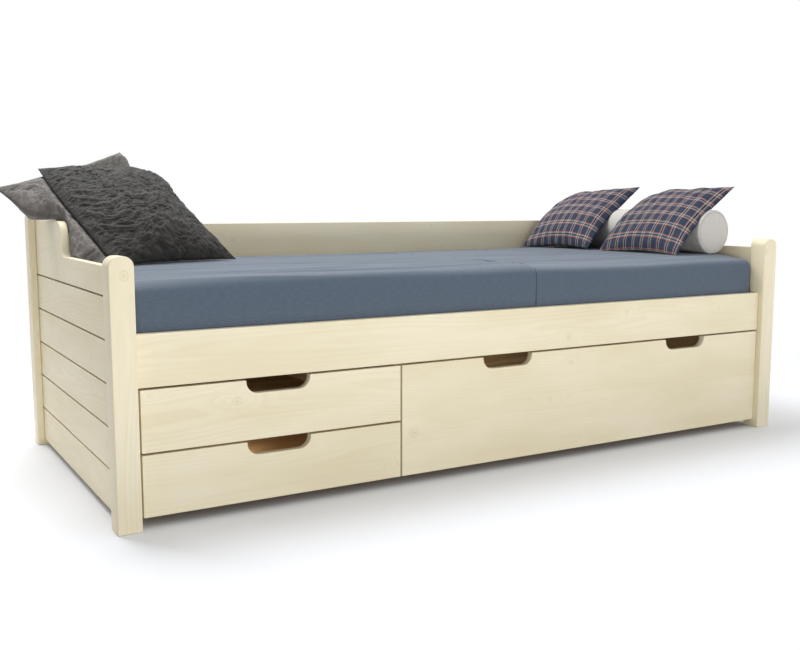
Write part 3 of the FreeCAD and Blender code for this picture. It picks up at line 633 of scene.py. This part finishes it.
def lattice(counts, spacing):
    """Points and faces of a closed box of cells. spacing(axis, share) places a share of an axis."""
    index = {}
    places = []

    def at(*cell):
        if cell not in index:
            index[cell] = len(places)
            places.append([spacing(axis, cell[axis] / counts[axis]) for axis in range(3)])
        return index[cell]

    faces = []
    for a, b, c, outward in ((0, 1, 2, 1), (0, 2, 1, 0), (1, 2, 0, 1)):
        for i in range(counts[a]):
            for j in range(counts[b]):
                for far in (0, 1):
                    quad = []
                    for step in ((i, j), (i + 1, j), (i + 1, j + 1), (i, j + 1)):
                        place = [far * counts[c]] * 3
                        place[a], place[b] = step
                        quad.append(at(*place))
                    faces.append(quad if far == outward else quad[:1] + quad[:0:-1])
    return np.array(places), faces


def fold_height(x, y, seed):
    """Long soft folds of the mattress cover, which run along the bed and are deepest at the front left."""
    wander = noise.noise((x * 1.3, y * 3.0, seed)) * 0.05
    broad = noise.noise((x * 1.1, (y + wander) * 15.0, seed + 3.0))
    narrow = noise.noise((x * 2.2, (y + wander) * 38.0, seed + 9.0))
    deep = 0.7 * math.exp(-((x + 0.55) / 0.4) ** 2 - ((y + 0.25) / 0.25) ** 2)
    where = 0.65 + 0.5 * noise.noise((x * 1.7, y * 2.4, seed + 20.0)) + deep
    ridge = 1 - abs(broad) * 3
    edge = 0.004 * noise.noise((x * 3.5, 0.0, seed + 31.0)) * math.exp(-(((y + 0.45) / 0.10) ** 2))
    return where * (0.0045 * broad + 0.0040 * ridge + 0.0025 * narrow) + edge


def pressed_flat(x, y):
    """1 where pillows, bolster or cushions lie on the mattress, fading to 0 beside them."""
    right = within((x - 0.62) / 0.12) * within((y + 0.42) / 0.08)
    left = within((-0.42 - x) / 0.12) * within((y + 0.18) / 0.12)
    return np.maximum(right, left)


def under_bolster(points):
    """Height that the bolster leaves to the mattress at each point."""
    off = points[:, 0] - ROLL_X
    span = BOLSTER_RADIUS + BOLSTER_BED
    under = ROLL_Z - np.sqrt(np.maximum(span * span - off * off, 0.0))
    along = (points[:, 1] > ROLL_LOW.y - 0.004) & (points[:, 1] < ROLL_HIGH.y + 0.004)
    return np.where(along & (np.abs(off) < span), under, np.inf)


def mattress(node, joint_side, seed):
    """One mattress section: rolled edges, a low crown and long folds in its cover."""
    low, high = (np.array(corner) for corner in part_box(node))
    (high if joint_side > 0 else low)[0] += joint_side * JOINT_REACH
    low[2] += SLAT_CLEAR
    size = high - low
    edge = {side: np.array(radii) for side, radii in MATTRESS_EDGE.items()}
    edge[joint_side][0] = JOINT_EDGE

    def spacing(axis, share):
        return low[axis] + size[axis] * (share - 0.65 * math.sin(2 * math.pi * share) / (2 * math.pi))

    points, faces = lattice(MATTRESS_CELLS, spacing)
    held = np.clip(points, low + edge[-1], high - edge[1])
    away = points - held
    reach = np.where(away < 0, edge[-1], edge[1])
    unit = away / reach
    plan = (np.abs(unit[:, 0]) ** 5 + np.abs(unit[:, 1]) ** 5) ** (1 / 5)
    length = np.hypot(plan, unit[:, 2])[:, None]
    rounded = held + reach * unit / np.maximum(length, 1.0e-9)
    share = (rounded - (low + high) / 2) / (size / 2)
    rise = within((rounded[:, 2] - low[2]) / size[2])
    crown = MATTRESS_CROWN * (1 - share[:, 1] ** 4) * rise ** 8
    flat = pressed_flat(rounded[:, 0], rounded[:, 1])
    out = rounded.copy()
    out[:, 2] += crown - (0.0105 - 0.0062 * flat) * rise ** 8
    for row, (x, y, z) in enumerate(rounded):
        if rise[row] > 0.6:
            fold = (rise[row] - 0.6) / 0.4 * (1 - flat[row]) * fold_height(x, y, seed)
            out[row, 2] = min(out[row, 2] + fold, MATTRESS_TOP + 0.0002)
        front = max(0.0, -share[row, 1] - 0.9) * 10
        if front > 0:
            out[row, 1] += front * MATTRESS_BELLY * noise.noise((x * 3.0, z * 9.0, seed + 40.0))
    out[:, 2] = np.minimum(out[:, 2], under_bolster(out))
    hang = np.where(share[:, 1] < 0, -1, 1) * (high[2] - out[:, 2])
    cloth = np.stack([out[:, 0], out[:, 1] + hang, within(rise * 5 - 4)], 1)
    soft_piece(node, out, faces, cloth, MATTRESS_CLOTH)


MATTRESS_CLOTH = mattress_cloth()
mattress("mattress_left", joint_side=1, seed=2.0)
mattress("mattress_right", joint_side=-1, seed=6.0)


# Bolster

SEAM_IN = 0.009
GROOVE_DEPTH = 0.0012
GROOVE_WIDTH = 0.0022
DISC_STEPS = 16
ROUND_STEPS = 14
BODY_STEPS = 90
AROUND = 160


def groove(run):
    """Depth of the seam's groove at a distance from the seam."""
    return GROOVE_DEPTH * math.exp(-((run / GROOVE_WIDTH) ** 2))


def bolster_profile(radius):
    """Half section of an end, from its middle outwards: metres from the end, radius, metres from the seam."""
    disc = radius - SEAM_IN
    rows = []
    for step in range(1, DISC_STEPS + 1):
        share = step / DISC_STEPS
        run = (1 - share) * disc
        rows.append((0.0006 + 0.0022 * share ** 4 + groove(run), disc * share, disc * (1 - share)))
    for step in range(1, ROUND_STEPS + 1):
        turn = math.pi / 2 * step / ROUND_STEPS
        run = SEAM_IN * step / ROUND_STEPS
        back = 0.0028 + groove(run) + 0.0085 * (1 - math.cos(turn))
        rows.append((back, disc + SEAM_IN * math.sin(turn), run))
    return rows


def bolster():
    """A round bolster along Y, with a sewn disc at each end and slight gathers beside the seams."""
    low, high = ROLL_LOW, ROLL_HIGH
    radius = (high.z - low.z) / 2 - 0.0006
    ends = bolster_profile(radius)
    length = high.y - low.y
    start = ends[-1][0]
    rows = [(low.y + run, reach, seam) for run, reach, seam in ends]
    for step in range(1, BODY_STEPS):
        run = start + (length - 2 * start) * step / BODY_STEPS
        rows.append((low.y + run, radius, min(run, length - run)))
    rows += [(high.y - run, reach, seam) for run, reach, seam in reversed(ends)]
    points, cloth, faces = [], [], []
    for y, reach, seam in rows:
        flank = max(0.0, reach - radius + SEAM_IN) / SEAM_IN
        gathers = 0.0011 * math.exp(-((min(y - low.y, high.y - y) / 0.06) ** 2))
        for step in range(AROUND):
            turn = 2 * math.pi * step / AROUND
            x, z = math.cos(turn), math.sin(turn)
            gather = gathers * noise.noise((x * 8.0, z * 8.0, y * 5.0))
            sag = 0.0014 * noise.noise((x * 1.4, z * 1.4, y * 5.0 + 8.0))
            out = reach + flank * min(0.0006, gather + sag - 0.0006)
            points.append((ROLL_X + out * x, y, ROLL_Z + out * z))
            cloth.append((reach * x, reach * z, seam) if flank <= 0 else (turn * radius, y, seam))
    for row in range(len(rows) - 1):
        for step in range(AROUND):
            one = row * AROUND + step
            two = row * AROUND + (step + 1) % AROUND
            faces.append((one, two, two + AROUND, one + AROUND))
    for first, y, turned in ((0, low.y + 0.0004, False), ((len(rows) - 1) * AROUND, high.y - 0.0004, True)):
        points.append((ROLL_X, y, ROLL_Z))
        cloth.append((0.0, 0.0, radius - SEAM_IN))
        for step in range(AROUND):
            rim = (first + step, first + (step + 1) % AROUND)
            faces.append((*(rim if turned else rim[::-1]), len(points) - 1))
    soft_piece("bolster", points, faces, cloth, bolster_cloth())


bolster()


# Pillows and cushions

SHEET_CROWN = 0.020
SIMULATED_FRAMES = 22
CLOTH_SETTINGS = {
    "quality": 6, "mass": 0.15, "tension_stiffness": 40, "compression_stiffness": 40, "shear_stiffness": 20,
    "bending_stiffness": 0.15, "air_damping": 3, "use_pressure": True, "uniform_pressure_force": 4.0,
}
FINER_LEVELS = 2
PILLOW_CELLS = 58
CUSHION_CELLS = 40
CREASES = ((13.0, 0.32), (29.0, 0.30), (60.0, 0.24), (118.0, 0.14))
CREASE_WARP = 0.030
BACK_CELLS = 80
BACK_SPAN = (1.2 * DARK["width"], 1.2 * DARK["height"])
END_CLEAR = 0.0015
SLUMP = (-0.040, -0.023, -0.050)


def pillow_sheets(cells, width, height, seed):
    """Two square sheets joined round their edge, a little apart in the middle, ready to be blown up."""
    points, cloth, index = [], [], {}

    def key(side, i, j):
        rim = i in (0, cells) or j in (0, cells)
        return (0 if rim else side, i, j)

    for side in (1, -1):
        for j in range(cells + 1):
            for i in range(cells + 1):
                place = key(side, i, j)
                if place in index:
                    continue
                s = 2 * i / cells - 1
                t = 2 * j / cells - 1
                lift = side * SHEET_CROWN * ((1 - s * s) * (1 - t * t)) ** 0.6
                rough = 0.0015 * noise.noise((s * 4.0, t * 4.0, seed + side))
                x, y = s * width / 2, t * height / 2
                index[place] = len(points)
                points.append((x, y, lift + rough if place[0] else 0.0))
                cloth.append((x, y, min(width / 2 * (1 - abs(s)), height / 2 * (1 - abs(t)))))
    faces = []
    for side in (1, -1):
        for j in range(cells):
            for i in range(cells):
                corners = ((i, j), (i + 1, j), (i + 1, j + 1), (i, j + 1))
                quad = tuple(index[key(side, *corner)] for corner in corners)
                faces.append(quad if side > 0 else quad[::-1])
    return points, faces, cloth


def evaluated(piece):
    """The mesh of a scratch object with its modifiers applied."""
    return bpy.data.meshes.new_from_object(piece.evaluated_get(bpy.context.evaluated_depsgraph_get()))


def blow_up(mesh):
    """Runs the cloth simulation on sewn sheets and returns the mesh that comes out."""
    sewn = placed("sewn", mesh)
    modifier = sewn.modifiers.new("cloth", "CLOTH")
    settle(modifier.settings, **CLOTH_SETTINGS)
    modifier.settings.effector_weights.gravity = 0
    modifier.collision_settings.use_collision = False
    settle(modifier.point_cache, frame_start=1, frame_end=SIMULATED_FRAMES)
    for number in range(1, SIMULATED_FRAMES + 1):
        scene.frame_set(number)
    blown = evaluated(sewn)
    scene.frame_set(1)
    bpy.data.objects.remove(sewn)
    return blown


def split_finer(mesh):
    """Subdivides a mesh and returns points, faces and cloth places."""
    carrier = placed("carrier", mesh)
    finer = carrier.modifiers.new("finer", "SUBSURF")
    finer.levels = finer.render_levels = FINER_LEVELS
    made = evaluated(carrier)
    bpy.data.objects.remove(carrier)
    points = np.zeros(len(made.vertices) * 3)
    made.vertices.foreach_get("co", points)
    cloth = np.zeros(len(made.vertices) * 3)
    made.attributes["cloth"].data.foreach_get("vector", cloth)
    faces = [tuple(p.vertices) for p in made.polygons]
    return points.reshape(-1, 3), faces, cloth.reshape(-1, 3)


def shares(form, cloth):
    """Places on a cover from -1 to 1: across and up."""
    return cloth[:, 0] / (form["width"] / 2), cloth[:, 1] / (form["height"] / 2)


def stuffed(form, cells, seed):
    """A stuffed cover in its own frame, as large as the CAD form: U across, V up, its front at +Z."""
    mesh = cloth_mesh("sewn", *pillow_sheets(cells, form["width"], form["height"], seed))
    mesh = blow_up(mesh)
    points, faces, cloth = split_finer(mesh)
    for axis, reach in ((0, form["width"] / 2), (1, form["height"] / 2)):
        middle = (points[:, axis].max() + points[:, axis].min()) / 2
        points[:, axis] = (points[:, axis] - middle) * reach / (points[:, axis].max() - middle)
    points[:, :2] += form["hold"] * (cloth[:, :2] - points[:, :2])
    high = points[:, 2].max()
    low = -points[:, 2].min()
    s, t = (np.clip(share, -1, 1) for share in shares(form, cloth))
    right, top, left, bottom = form["draw"]
    points[:, 0] -= np.where(s > 0, right, left) * s * (1 - t * t)
    points[:, 1] -= np.where(t > 0, top, bottom) * t * (1 - s * s)
    plump = ((1 - np.abs(s) ** 2.4) * (1 - np.abs(t) ** 2.4)) ** 0.58
    front = form["front"] * (0.6 * plump + 0.4 * points[:, 2] / high)
    back = form["back"] * (0.6 * plump - 0.4 * points[:, 2] / low)
    thinner = form["thin"] * within(s) ** 2 * (0.5 - 0.5 * np.tanh((t - 0.45) / 0.25))
    points[:, 2] = np.where(points[:, 2] > 0, front, -back) * (1 - thinner)
    return points, faces, cloth


def normals_of(points, faces):
    """Unit normals of the points of a closed mesh of quads."""
    quads = np.array(faces)
    a, b, c, d = (points[quads[:, n]] for n in range(4))
    face_normal = np.cross(c - a, d - b)
    out = np.zeros_like(points)
    for n in range(4):
        np.add.at(out, quads[:, n], face_normal)
    return out / np.maximum(np.linalg.norm(out, axis=1, keepdims=True), 1e-12)


def crinkled(points, faces, cloth, depth, seed):
    """Pushes crossing creases into a cover. Also returns each point's height in them, 0 to 1."""
    height = np.zeros(len(points))
    for row, (u, v, _) in enumerate(cloth):
        warp_u = CREASE_WARP * noise.noise((u * 12.0, v * 12.0, seed))
        warp_v = CREASE_WARP * noise.noise((u * 12.0 + 31.7, v * 12.0 + 7.3, seed))
        total = 0.0
        for number, (scale, share) in enumerate(CREASES):
            place = ((u + warp_u) * scale, (v + warp_v) * scale * 1.5, seed + 3.7 * number)
            total += share * (1 - 2.4 * abs(noise.noise(place)))
        height[row] = min(max(total * 0.5 + 0.5, 0.0), 1.0)
    push = depth * within(cloth[:, 2] / 0.02) * (height - 0.62)
    return points + normals_of(points, faces) * push[:, None], height


def rumpled(points, faces, cloth, depth, seed):
    """Pushes soft dents into a cover."""
    broad = np.array([noise.noise((u * 13.0, v * 13.0, seed)) for u, v, _ in cloth])
    small = np.array([noise.noise((u * 31.0, v * 31.0, seed + 4.0)) for u, v, _ in cloth])
    push = depth * within(cloth[:, 2] / 0.03) * (broad + 0.6 * small)
    return points + normals_of(points, faces) * push[:, None]


def tucked(points, cloth, form, corner, start, back, inward):
    """Bends one corner of a cover backwards, as where a soft corner hangs over."""
    s, t = shares(form, cloth)
    bend = eased((s * corner[0] + t * corner[1] - start) / (2 - start))
    return points - np.outer(bend, (corner[0] * inward, corner[1] * inward, back))


def drooped(points, cloth, form, amount):
    """Lets the lower edge of a posed cover hang down to what it lies on."""
    _, t = shares(form, cloth)
    out = points.copy()
    out[:, 2] -= amount * within((-t - 0.3) / 0.7) ** 1.5
    return out


def turned(turn, lean, roll=0.0):
    """Axes of a cover that is rolled in its own plane, leant back and turned about the upright."""
    angles = ((turn, "Z"), (lean, "X"), (roll, "Z"))
    first, second, third = (Matrix.Rotation(math.radians(angle), 3, axis) for angle, axis in angles)
    return np.array(first @ second @ third)


def lay_on_mattress(points):
    """Lifts what would sink into the mattress, so that the underside lies flat on it."""
    level = MATTRESS_TOP + SOFT_CLEAR
    out = points.copy()
    under = out[:, 2] < level
    out[under, 2] = level + (out[under, 2] - level) * 0.02
    return out


DARK_AXES = turned(DARK["turn"], DARK["lean"])


def dark_middle():
    """Middle of the dark pillow's seam: in plan as in the CAD source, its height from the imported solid."""
    lean = math.radians(DARK["lean"])
    turn = math.radians(DARK["turn"])
    half = DARK["height"] / 2
    x = -END_INNER + 0.2805 - half * math.cos(lean) * math.sin(turn)
    y = BACK_FACE - 0.4305 + half * math.cos(lean) * math.cos(turn)
    return np.array([x, y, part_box("dark_pillow")[1].z - half * math.sin(lean)])


def dark_pillow():
    """The crushed pillow in front, leaning on the light one. Returns the middle and the depth of its back."""
    points, faces, cloth = stuffed(DARK, PILLOW_CELLS, seed=3.0)
    left = within((-shares(DARK, cloth)[0] - 0.2) / 0.8)
    points[:, 2] *= np.where(points[:, 2] < 0, 1 - 0.85 * left, 1 - 0.3 * eased(left))
    points = tucked(points, cloth, DARK, (1, 1), start=1.5, back=0.014, inward=0.014)
    points, crease = crinkled(points, faces, cloth, depth=0.015, seed=21.0)
    middle = dark_middle()
    points = points @ DARK_AXES.T + middle
    points = lay_on_mattress(drooped(points, cloth, DARK, amount=0.012))
    # The third colour is the painted highlight on crests; the first is also the painted shade in hollows.
    cover = crushed_cloth("dark_crushed", rgb(11, 10, 9), rgb(27, 25, 23), rgb(60, 57, 53), 2.0)
    soft_piece("dark_pillow", points, faces, cloth, cover, crease=crease)
    return middle, back_depth(points, middle)


def back_depth(points, middle):
    """The lowest place of the dark pillow's back in each cell over its width and height."""
    local = (points - middle) @ DARK_AXES
    share = local[:, :2] / BACK_SPAN + 0.5
    cell = np.clip((share * BACK_CELLS).astype(int), 0, BACK_CELLS - 1)
    depth = np.full((BACK_CELLS + 2, BACK_CELLS + 2), 1.0)
    np.minimum.at(depth, (cell[:, 0] + 1, cell[:, 1] + 1), local[:, 2])
    wide = depth.copy()
    for i in (-1, 0, 1):
        for j in (-1, 0, 1):
            wide = np.minimum(wide, np.roll(depth, (i, j), (0, 1)))
    return wide[1:-1, 1:-1]


def clear_of_dark(points, middle, depth, clear):
    """Moves points back from the dark pillow's true back where they would cut into it."""
    local = (points - middle) @ DARK_AXES
    share = (local[:, :2] / BACK_SPAN + 0.5) * BACK_CELLS - 0.5
    inside = ((share > -0.5) & (share < BACK_CELLS - 0.5)).all(axis=1)
    cell = np.clip(np.floor(share).astype(int), 0, BACK_CELLS - 2)
    part = within(share - cell)
    (i, j), (u, v) = cell.T, part.T
    near = depth[i, j] * (1 - u) + depth[i + 1, j] * u
    far = depth[i, j + 1] * (1 - u) + depth[i + 1, j + 1] * u
    level = near * (1 - v) + far * v
    press = np.where(inside, np.clip(local[:, 2] - level + clear, 0, 0.04), 0.0)
    return points - np.outer(press, DARK_AXES[:, 2])


def behind_dark(points, middle, clear):
    """Presses points behind the dark pillow's back; the press fades out beyond its top and left edges."""
    local = (points - middle) @ DARK_AXES
    s, t = (within(np.abs(share)) for share in shares(DARK, local))
    back = DARK["back"] * ((1 - s ** 2.4) * (1 - t ** 2.4)) ** 0.45
    plan = (points - middle) @ turned(DARK["turn"], 0.0)
    top_edge = DARK["height"] / 2 * math.cos(math.radians(DARK["lean"]))
    beyond = np.maximum(plan[:, 1] - top_edge, -DARK["width"] / 2 - plan[:, 0])
    fade = eased(1 - (beyond - 0.004) / 0.04)
    press = np.maximum(0.0, local[:, 2] + back + clear)
    return points - np.outer(press * fade, DARK_AXES[:, 2])


def meets_dark(points, middle, front_side):
    """Brings the light pillow's front forward to the dark pillow's left edge, so that no gap shows there."""
    local = (points - middle) @ DARK_AXES
    s, t = shares(DARK, local)
    near = within((s + 1.22) / 0.2) * within((-s - 0.1) / 0.5)
    near *= within((1.0 - np.abs(t)) / 0.3)
    gap = np.clip(-local[:, 2] - 0.004, 0, 0.04)
    return points + np.outer(gap * eased(near) * front_side, DARK_AXES[:, 2])


def end_top(y):
    """Height of the left end's top edge, which steps up towards the rear."""
    brow = within((y - STEP_Y) / STEP_ROUND)
    foot = within((y - STEP_Y) / STEP_FOOT + 1)
    straight = END_HIGH_TOP - STEP_ROUND - END_LOW_TOP
    return END_LOW_TOP + straight * foot + STEP_ROUND * np.sqrt(brow * (2 - brow))


def over_end(points):
    """Lays points on the top of the left end, or moves them aside into the bed where that is nearer."""
    out = points.copy()
    low = eased((END_HIGH_TOP + 0.06 - out[:, 2]) / 0.05)
    fore = eased((STEP_Y + 0.12 - out[:, 1]) / 0.10)
    out[:, 0] += low * fore * np.maximum(0.0, END_CLEAR - END_INNER - out[:, 0])
    past = END_CLEAR - END_INNER - out[:, 0]
    above = out[:, 2] - end_top(out[:, 1]) - 0.0014
    aside = (past > 0) & (above < 0) & (past < -0.5 * above) & (past < 0.035)
    ease = np.where(aside, 0.0, within(past / 0.012 + 1))
    out[:, 0] = np.where(aside, 0.0050 - END_INNER, out[:, 0])
    out[:, 2] += ease * ((np.sqrt(above * above + 0.000012) - above) / 2)
    return out


def light_pillow(middle, depth):
    """The pillow in the corner, over the end's top, behind the dark one with the given middle and back."""
    points, faces, cloth = stuffed(LIGHT, PILLOW_CELLS, seed=8.0)
    s, t = shares(LIGHT, cloth)
    ear = within((t - s - 1.5) / 0.5) ** 2
    points[:, 0] -= 0.016 * ear
    points[:, 1] += 0.004 * ear
    front_side = 0.5 + 0.5 * np.tanh(points[:, 2] / 0.015)
    behind = 1.0 - 0.55 * front_side
    sag = 0.030 * behind * within((-s - 0.25) / 0.5) * np.exp(-(((t - 0.55) / 0.32) ** 2))
    points = points @ turned(LIGHT["turn"], LIGHT["lean"], LIGHT["roll"]).T + np.array(LIGHT_PLACE)
    slump = within((-s - 0.1) / 0.9) ** 1.3 * within((-t - 0.08) / 0.34)
    points += np.outer(slump, SLUMP)
    points[:, 2] -= sag
    points = meets_dark(points, middle, front_side)
    points = over_end(behind_dark(points, middle, clear=0.007))
    points, crease = crinkled(points, faces, cloth, depth=0.013, seed=47.0)
    points = behind_dark(points, middle, clear=0.003)
    points = over_end(clear_of_dark(points, middle, depth, clear=0.001))
    points = lay_on_mattress(points)
    points[:, 1] = np.minimum(points[:, 1], BACK_FACE - SOFT_CLEAR)
    # The third colour is the painted highlight on crests; the first is also the painted shade in hollows.
    cover = crushed_cloth("light_crushed", rgb(68, 65, 62), rgb(99, 95, 92), rgb(137, 133, 128), 5.0)
    soft_piece("light_pillow", points, faces, cloth, cover, crease=crease)


def cushion(node, y, roll, shift_x, seed, plaid_shift):
    """A plaid cushion lying back on the bolster."""
    points, faces, cloth = stuffed(CUSHION, CUSHION_CELLS, seed)
    points = tucked(points, cloth, CUSHION, (-1, 1), start=0.95, back=0.036, inward=0.010)
    points = rumpled(points, faces, cloth, depth=0.005, seed=seed)
    lean = math.radians(CUSHION["lean"])
    seam_z = MATTRESS_TOP + 0.014
    back_off = ((ROLL_Z - seam_z) * math.cos(lean) + BOLSTER_RADIUS - 0.014) / math.sin(lean)
    half = CUSHION["height"] / 2
    top_corner = half * math.cos(math.radians(roll)) + CUSHION["width"] / 2 * math.sin(math.radians(roll))
    middle_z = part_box(node)[1].z - top_corner * math.sin(lean)
    middle = [ROLL_X - back_off + half * math.cos(lean) - shift_x, y, middle_z]
    points = points @ turned(CUSHION["facing"], CUSHION["lean"], roll).T + np.array(middle)
    points = drooped(points, cloth, CUSHION, amount=0.018)
    off_x = points[:, 0] - ROLL_X
    off_z = points[:, 2] - ROLL_Z
    reach = np.maximum(np.hypot(off_x, off_z), 1e-6)
    dent = np.maximum((BOLSTER_RADIUS + 0.0015) / reach, 1.0)
    points[:, 0] = ROLL_X + off_x * dent
    points[:, 2] = ROLL_Z + off_z * dent
    points = lay_on_mattress(points)
    soft_piece(node, points, faces, cloth, plaid_cloth(node + "_plaid", plaid_shift))


light_pillow(*dark_pillow())
cushion("front_cushion", y=-0.164, roll=1.0, shift_x=0.008, seed=14.0, plaid_shift=(0.004, 0.010))
cushion("rear_cushion", y=0.263, roll=3.0, shift_x=0.014, seed=31.0, plaid_shift=(0.016, 0.021))


# Floor, light and camera

FLOOR_HALF = 30.0
LAMPS = (
    ("top", (-0.95, 1.7, 4.4), (0.0, 0.0, 0.3), (2.7, 2.7), 186),
    ("fill", (-0.5, -4.2, 0.18), (0.0, 0.0, 0.18), (3.0, 0.3), 45),
)
GLOWS = (("upper", 0.15), ("lower", 0.33), ("large", 0.42))


def floor():
    """A pale floor that keeps the bed's shadow, is white far off, and in places throws less light back."""
    corners = [(x * FLOOR_HALF, y * FLOOR_HALF, 0) for x, y in ((-1, -1), (1, -1), (1, 1), (-1, 1))]
    mesh = bpy.data.meshes.new("floor")
    mesh.from_pydata(corners, [], [(0, 1, 2, 3)])
    piece = placed("floor", mesh)
    material, g, shader = new_material("floor_white")
    g.tree.nodes.remove(shader)
    at = g.node("TexCoord").outputs["Object"]
    x, y, _ = g.split(at)
    far = g.vector("LENGTH", g.join(g.over(x, 1.35), y, 0.0))
    camera_ray, seen = g.rays()
    white = g.mix(g.noise(at, 900.0), rgb(237, 239, 244), rgb(241, 243, 248))
    before = g.times(g.smooth(y, -0.45, -0.55), g.smooth(y, -1.1, -0.8))
    aside = g.smooth(x, -1.25, -1.9)
    flagged = g.math("MAXIMUM", g.times(before, 0.8), g.times(aside, 0.5))
    flagged = g.times(flagged, g.minus(1.0, camera_ray))
    matt = g.node("BsdfDiffuse")
    g.feed(matt.inputs["Color"], g.mix(flagged, white, rgb(40, 40, 40)))
    glow = g.node("Emission")
    fade = g.times(g.smooth(far, 1.0, 2.3), seen)
    mixed = g.result("MixShader", (fade, matt.outputs[0], glow.outputs[0]))
    g.feed(g.tree.nodes["Material Output"].inputs["Surface"], mixed)
    mesh.materials.append(material)


def world():
    """White where it is seen, and a softer even light on the object."""
    made = bpy.data.worlds.new("studio")
    scene.world = made
    made.use_nodes = True
    g = Graph(made.node_tree)
    _, seen = g.rays()
    side, behind, _ = g.split(g.node("TexCoord").outputs["Generated"])
    level = g.times_plus(behind, 0.04, g.times_plus(side, 0.38, 0.71))
    back = made.node_tree.nodes["Background"]
    g.fill(back, {"Color": (1, 1, 1, 1), "Strength": g.between(seen, level, 1.0)})


def lamp(name, place, target, size, power):
    light = bpy.data.lights.new(name, "AREA")
    settle(light, shape="RECTANGLE", size=size[0], size_y=size[1], energy=power)
    piece = settle(placed(name, light), location=place, visible_camera=False)
    piece.rotation_euler = (Vector(target) - Vector(place)).to_track_quat("-Z", "Y").to_euler()


def glow_inside(drawer, power):
    """A faint light in a drawer, for the daylight that leaks into the bed and shows in the hand slots."""
    low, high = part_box(drawer + "_drawer_floor")
    light = settle(bpy.data.lights.new(drawer + "_glow", "POINT"), shadow_soft_size=0.03, energy=power)
    place = ((low.x + high.x) / 2, (low.y + high.y) / 2, high.z + 0.06)
    settle(placed(drawer + "_glow", light), location=place, visible_camera=False)


def camera():
    data = bpy.data.cameras.new("camera")
    data.sensor_width = SENSOR
    data.lens = FOCAL_PIXELS * SENSOR / IMAGE_WIDTH
    piece = placed("camera", data)
    piece.location = CAMERA_PLACE
    heading = math.radians(CAMERA_HEADING)
    pitch = math.radians(CAMERA_PITCH)
    level = math.cos(pitch)
    forward = Vector((math.sin(heading) * level, math.cos(heading) * level, math.sin(pitch)))
    piece.rotation_euler = forward.to_track_quat("-Z", "Y").to_euler()
    scene.camera = piece


floor()
world()
for given in LAMPS:
    lamp(*given)
for given in GLOWS:
    glow_inside(*given)
camera()
scene.view_settings.view_transform = "Standard"

bpy.context.view_layer.update()
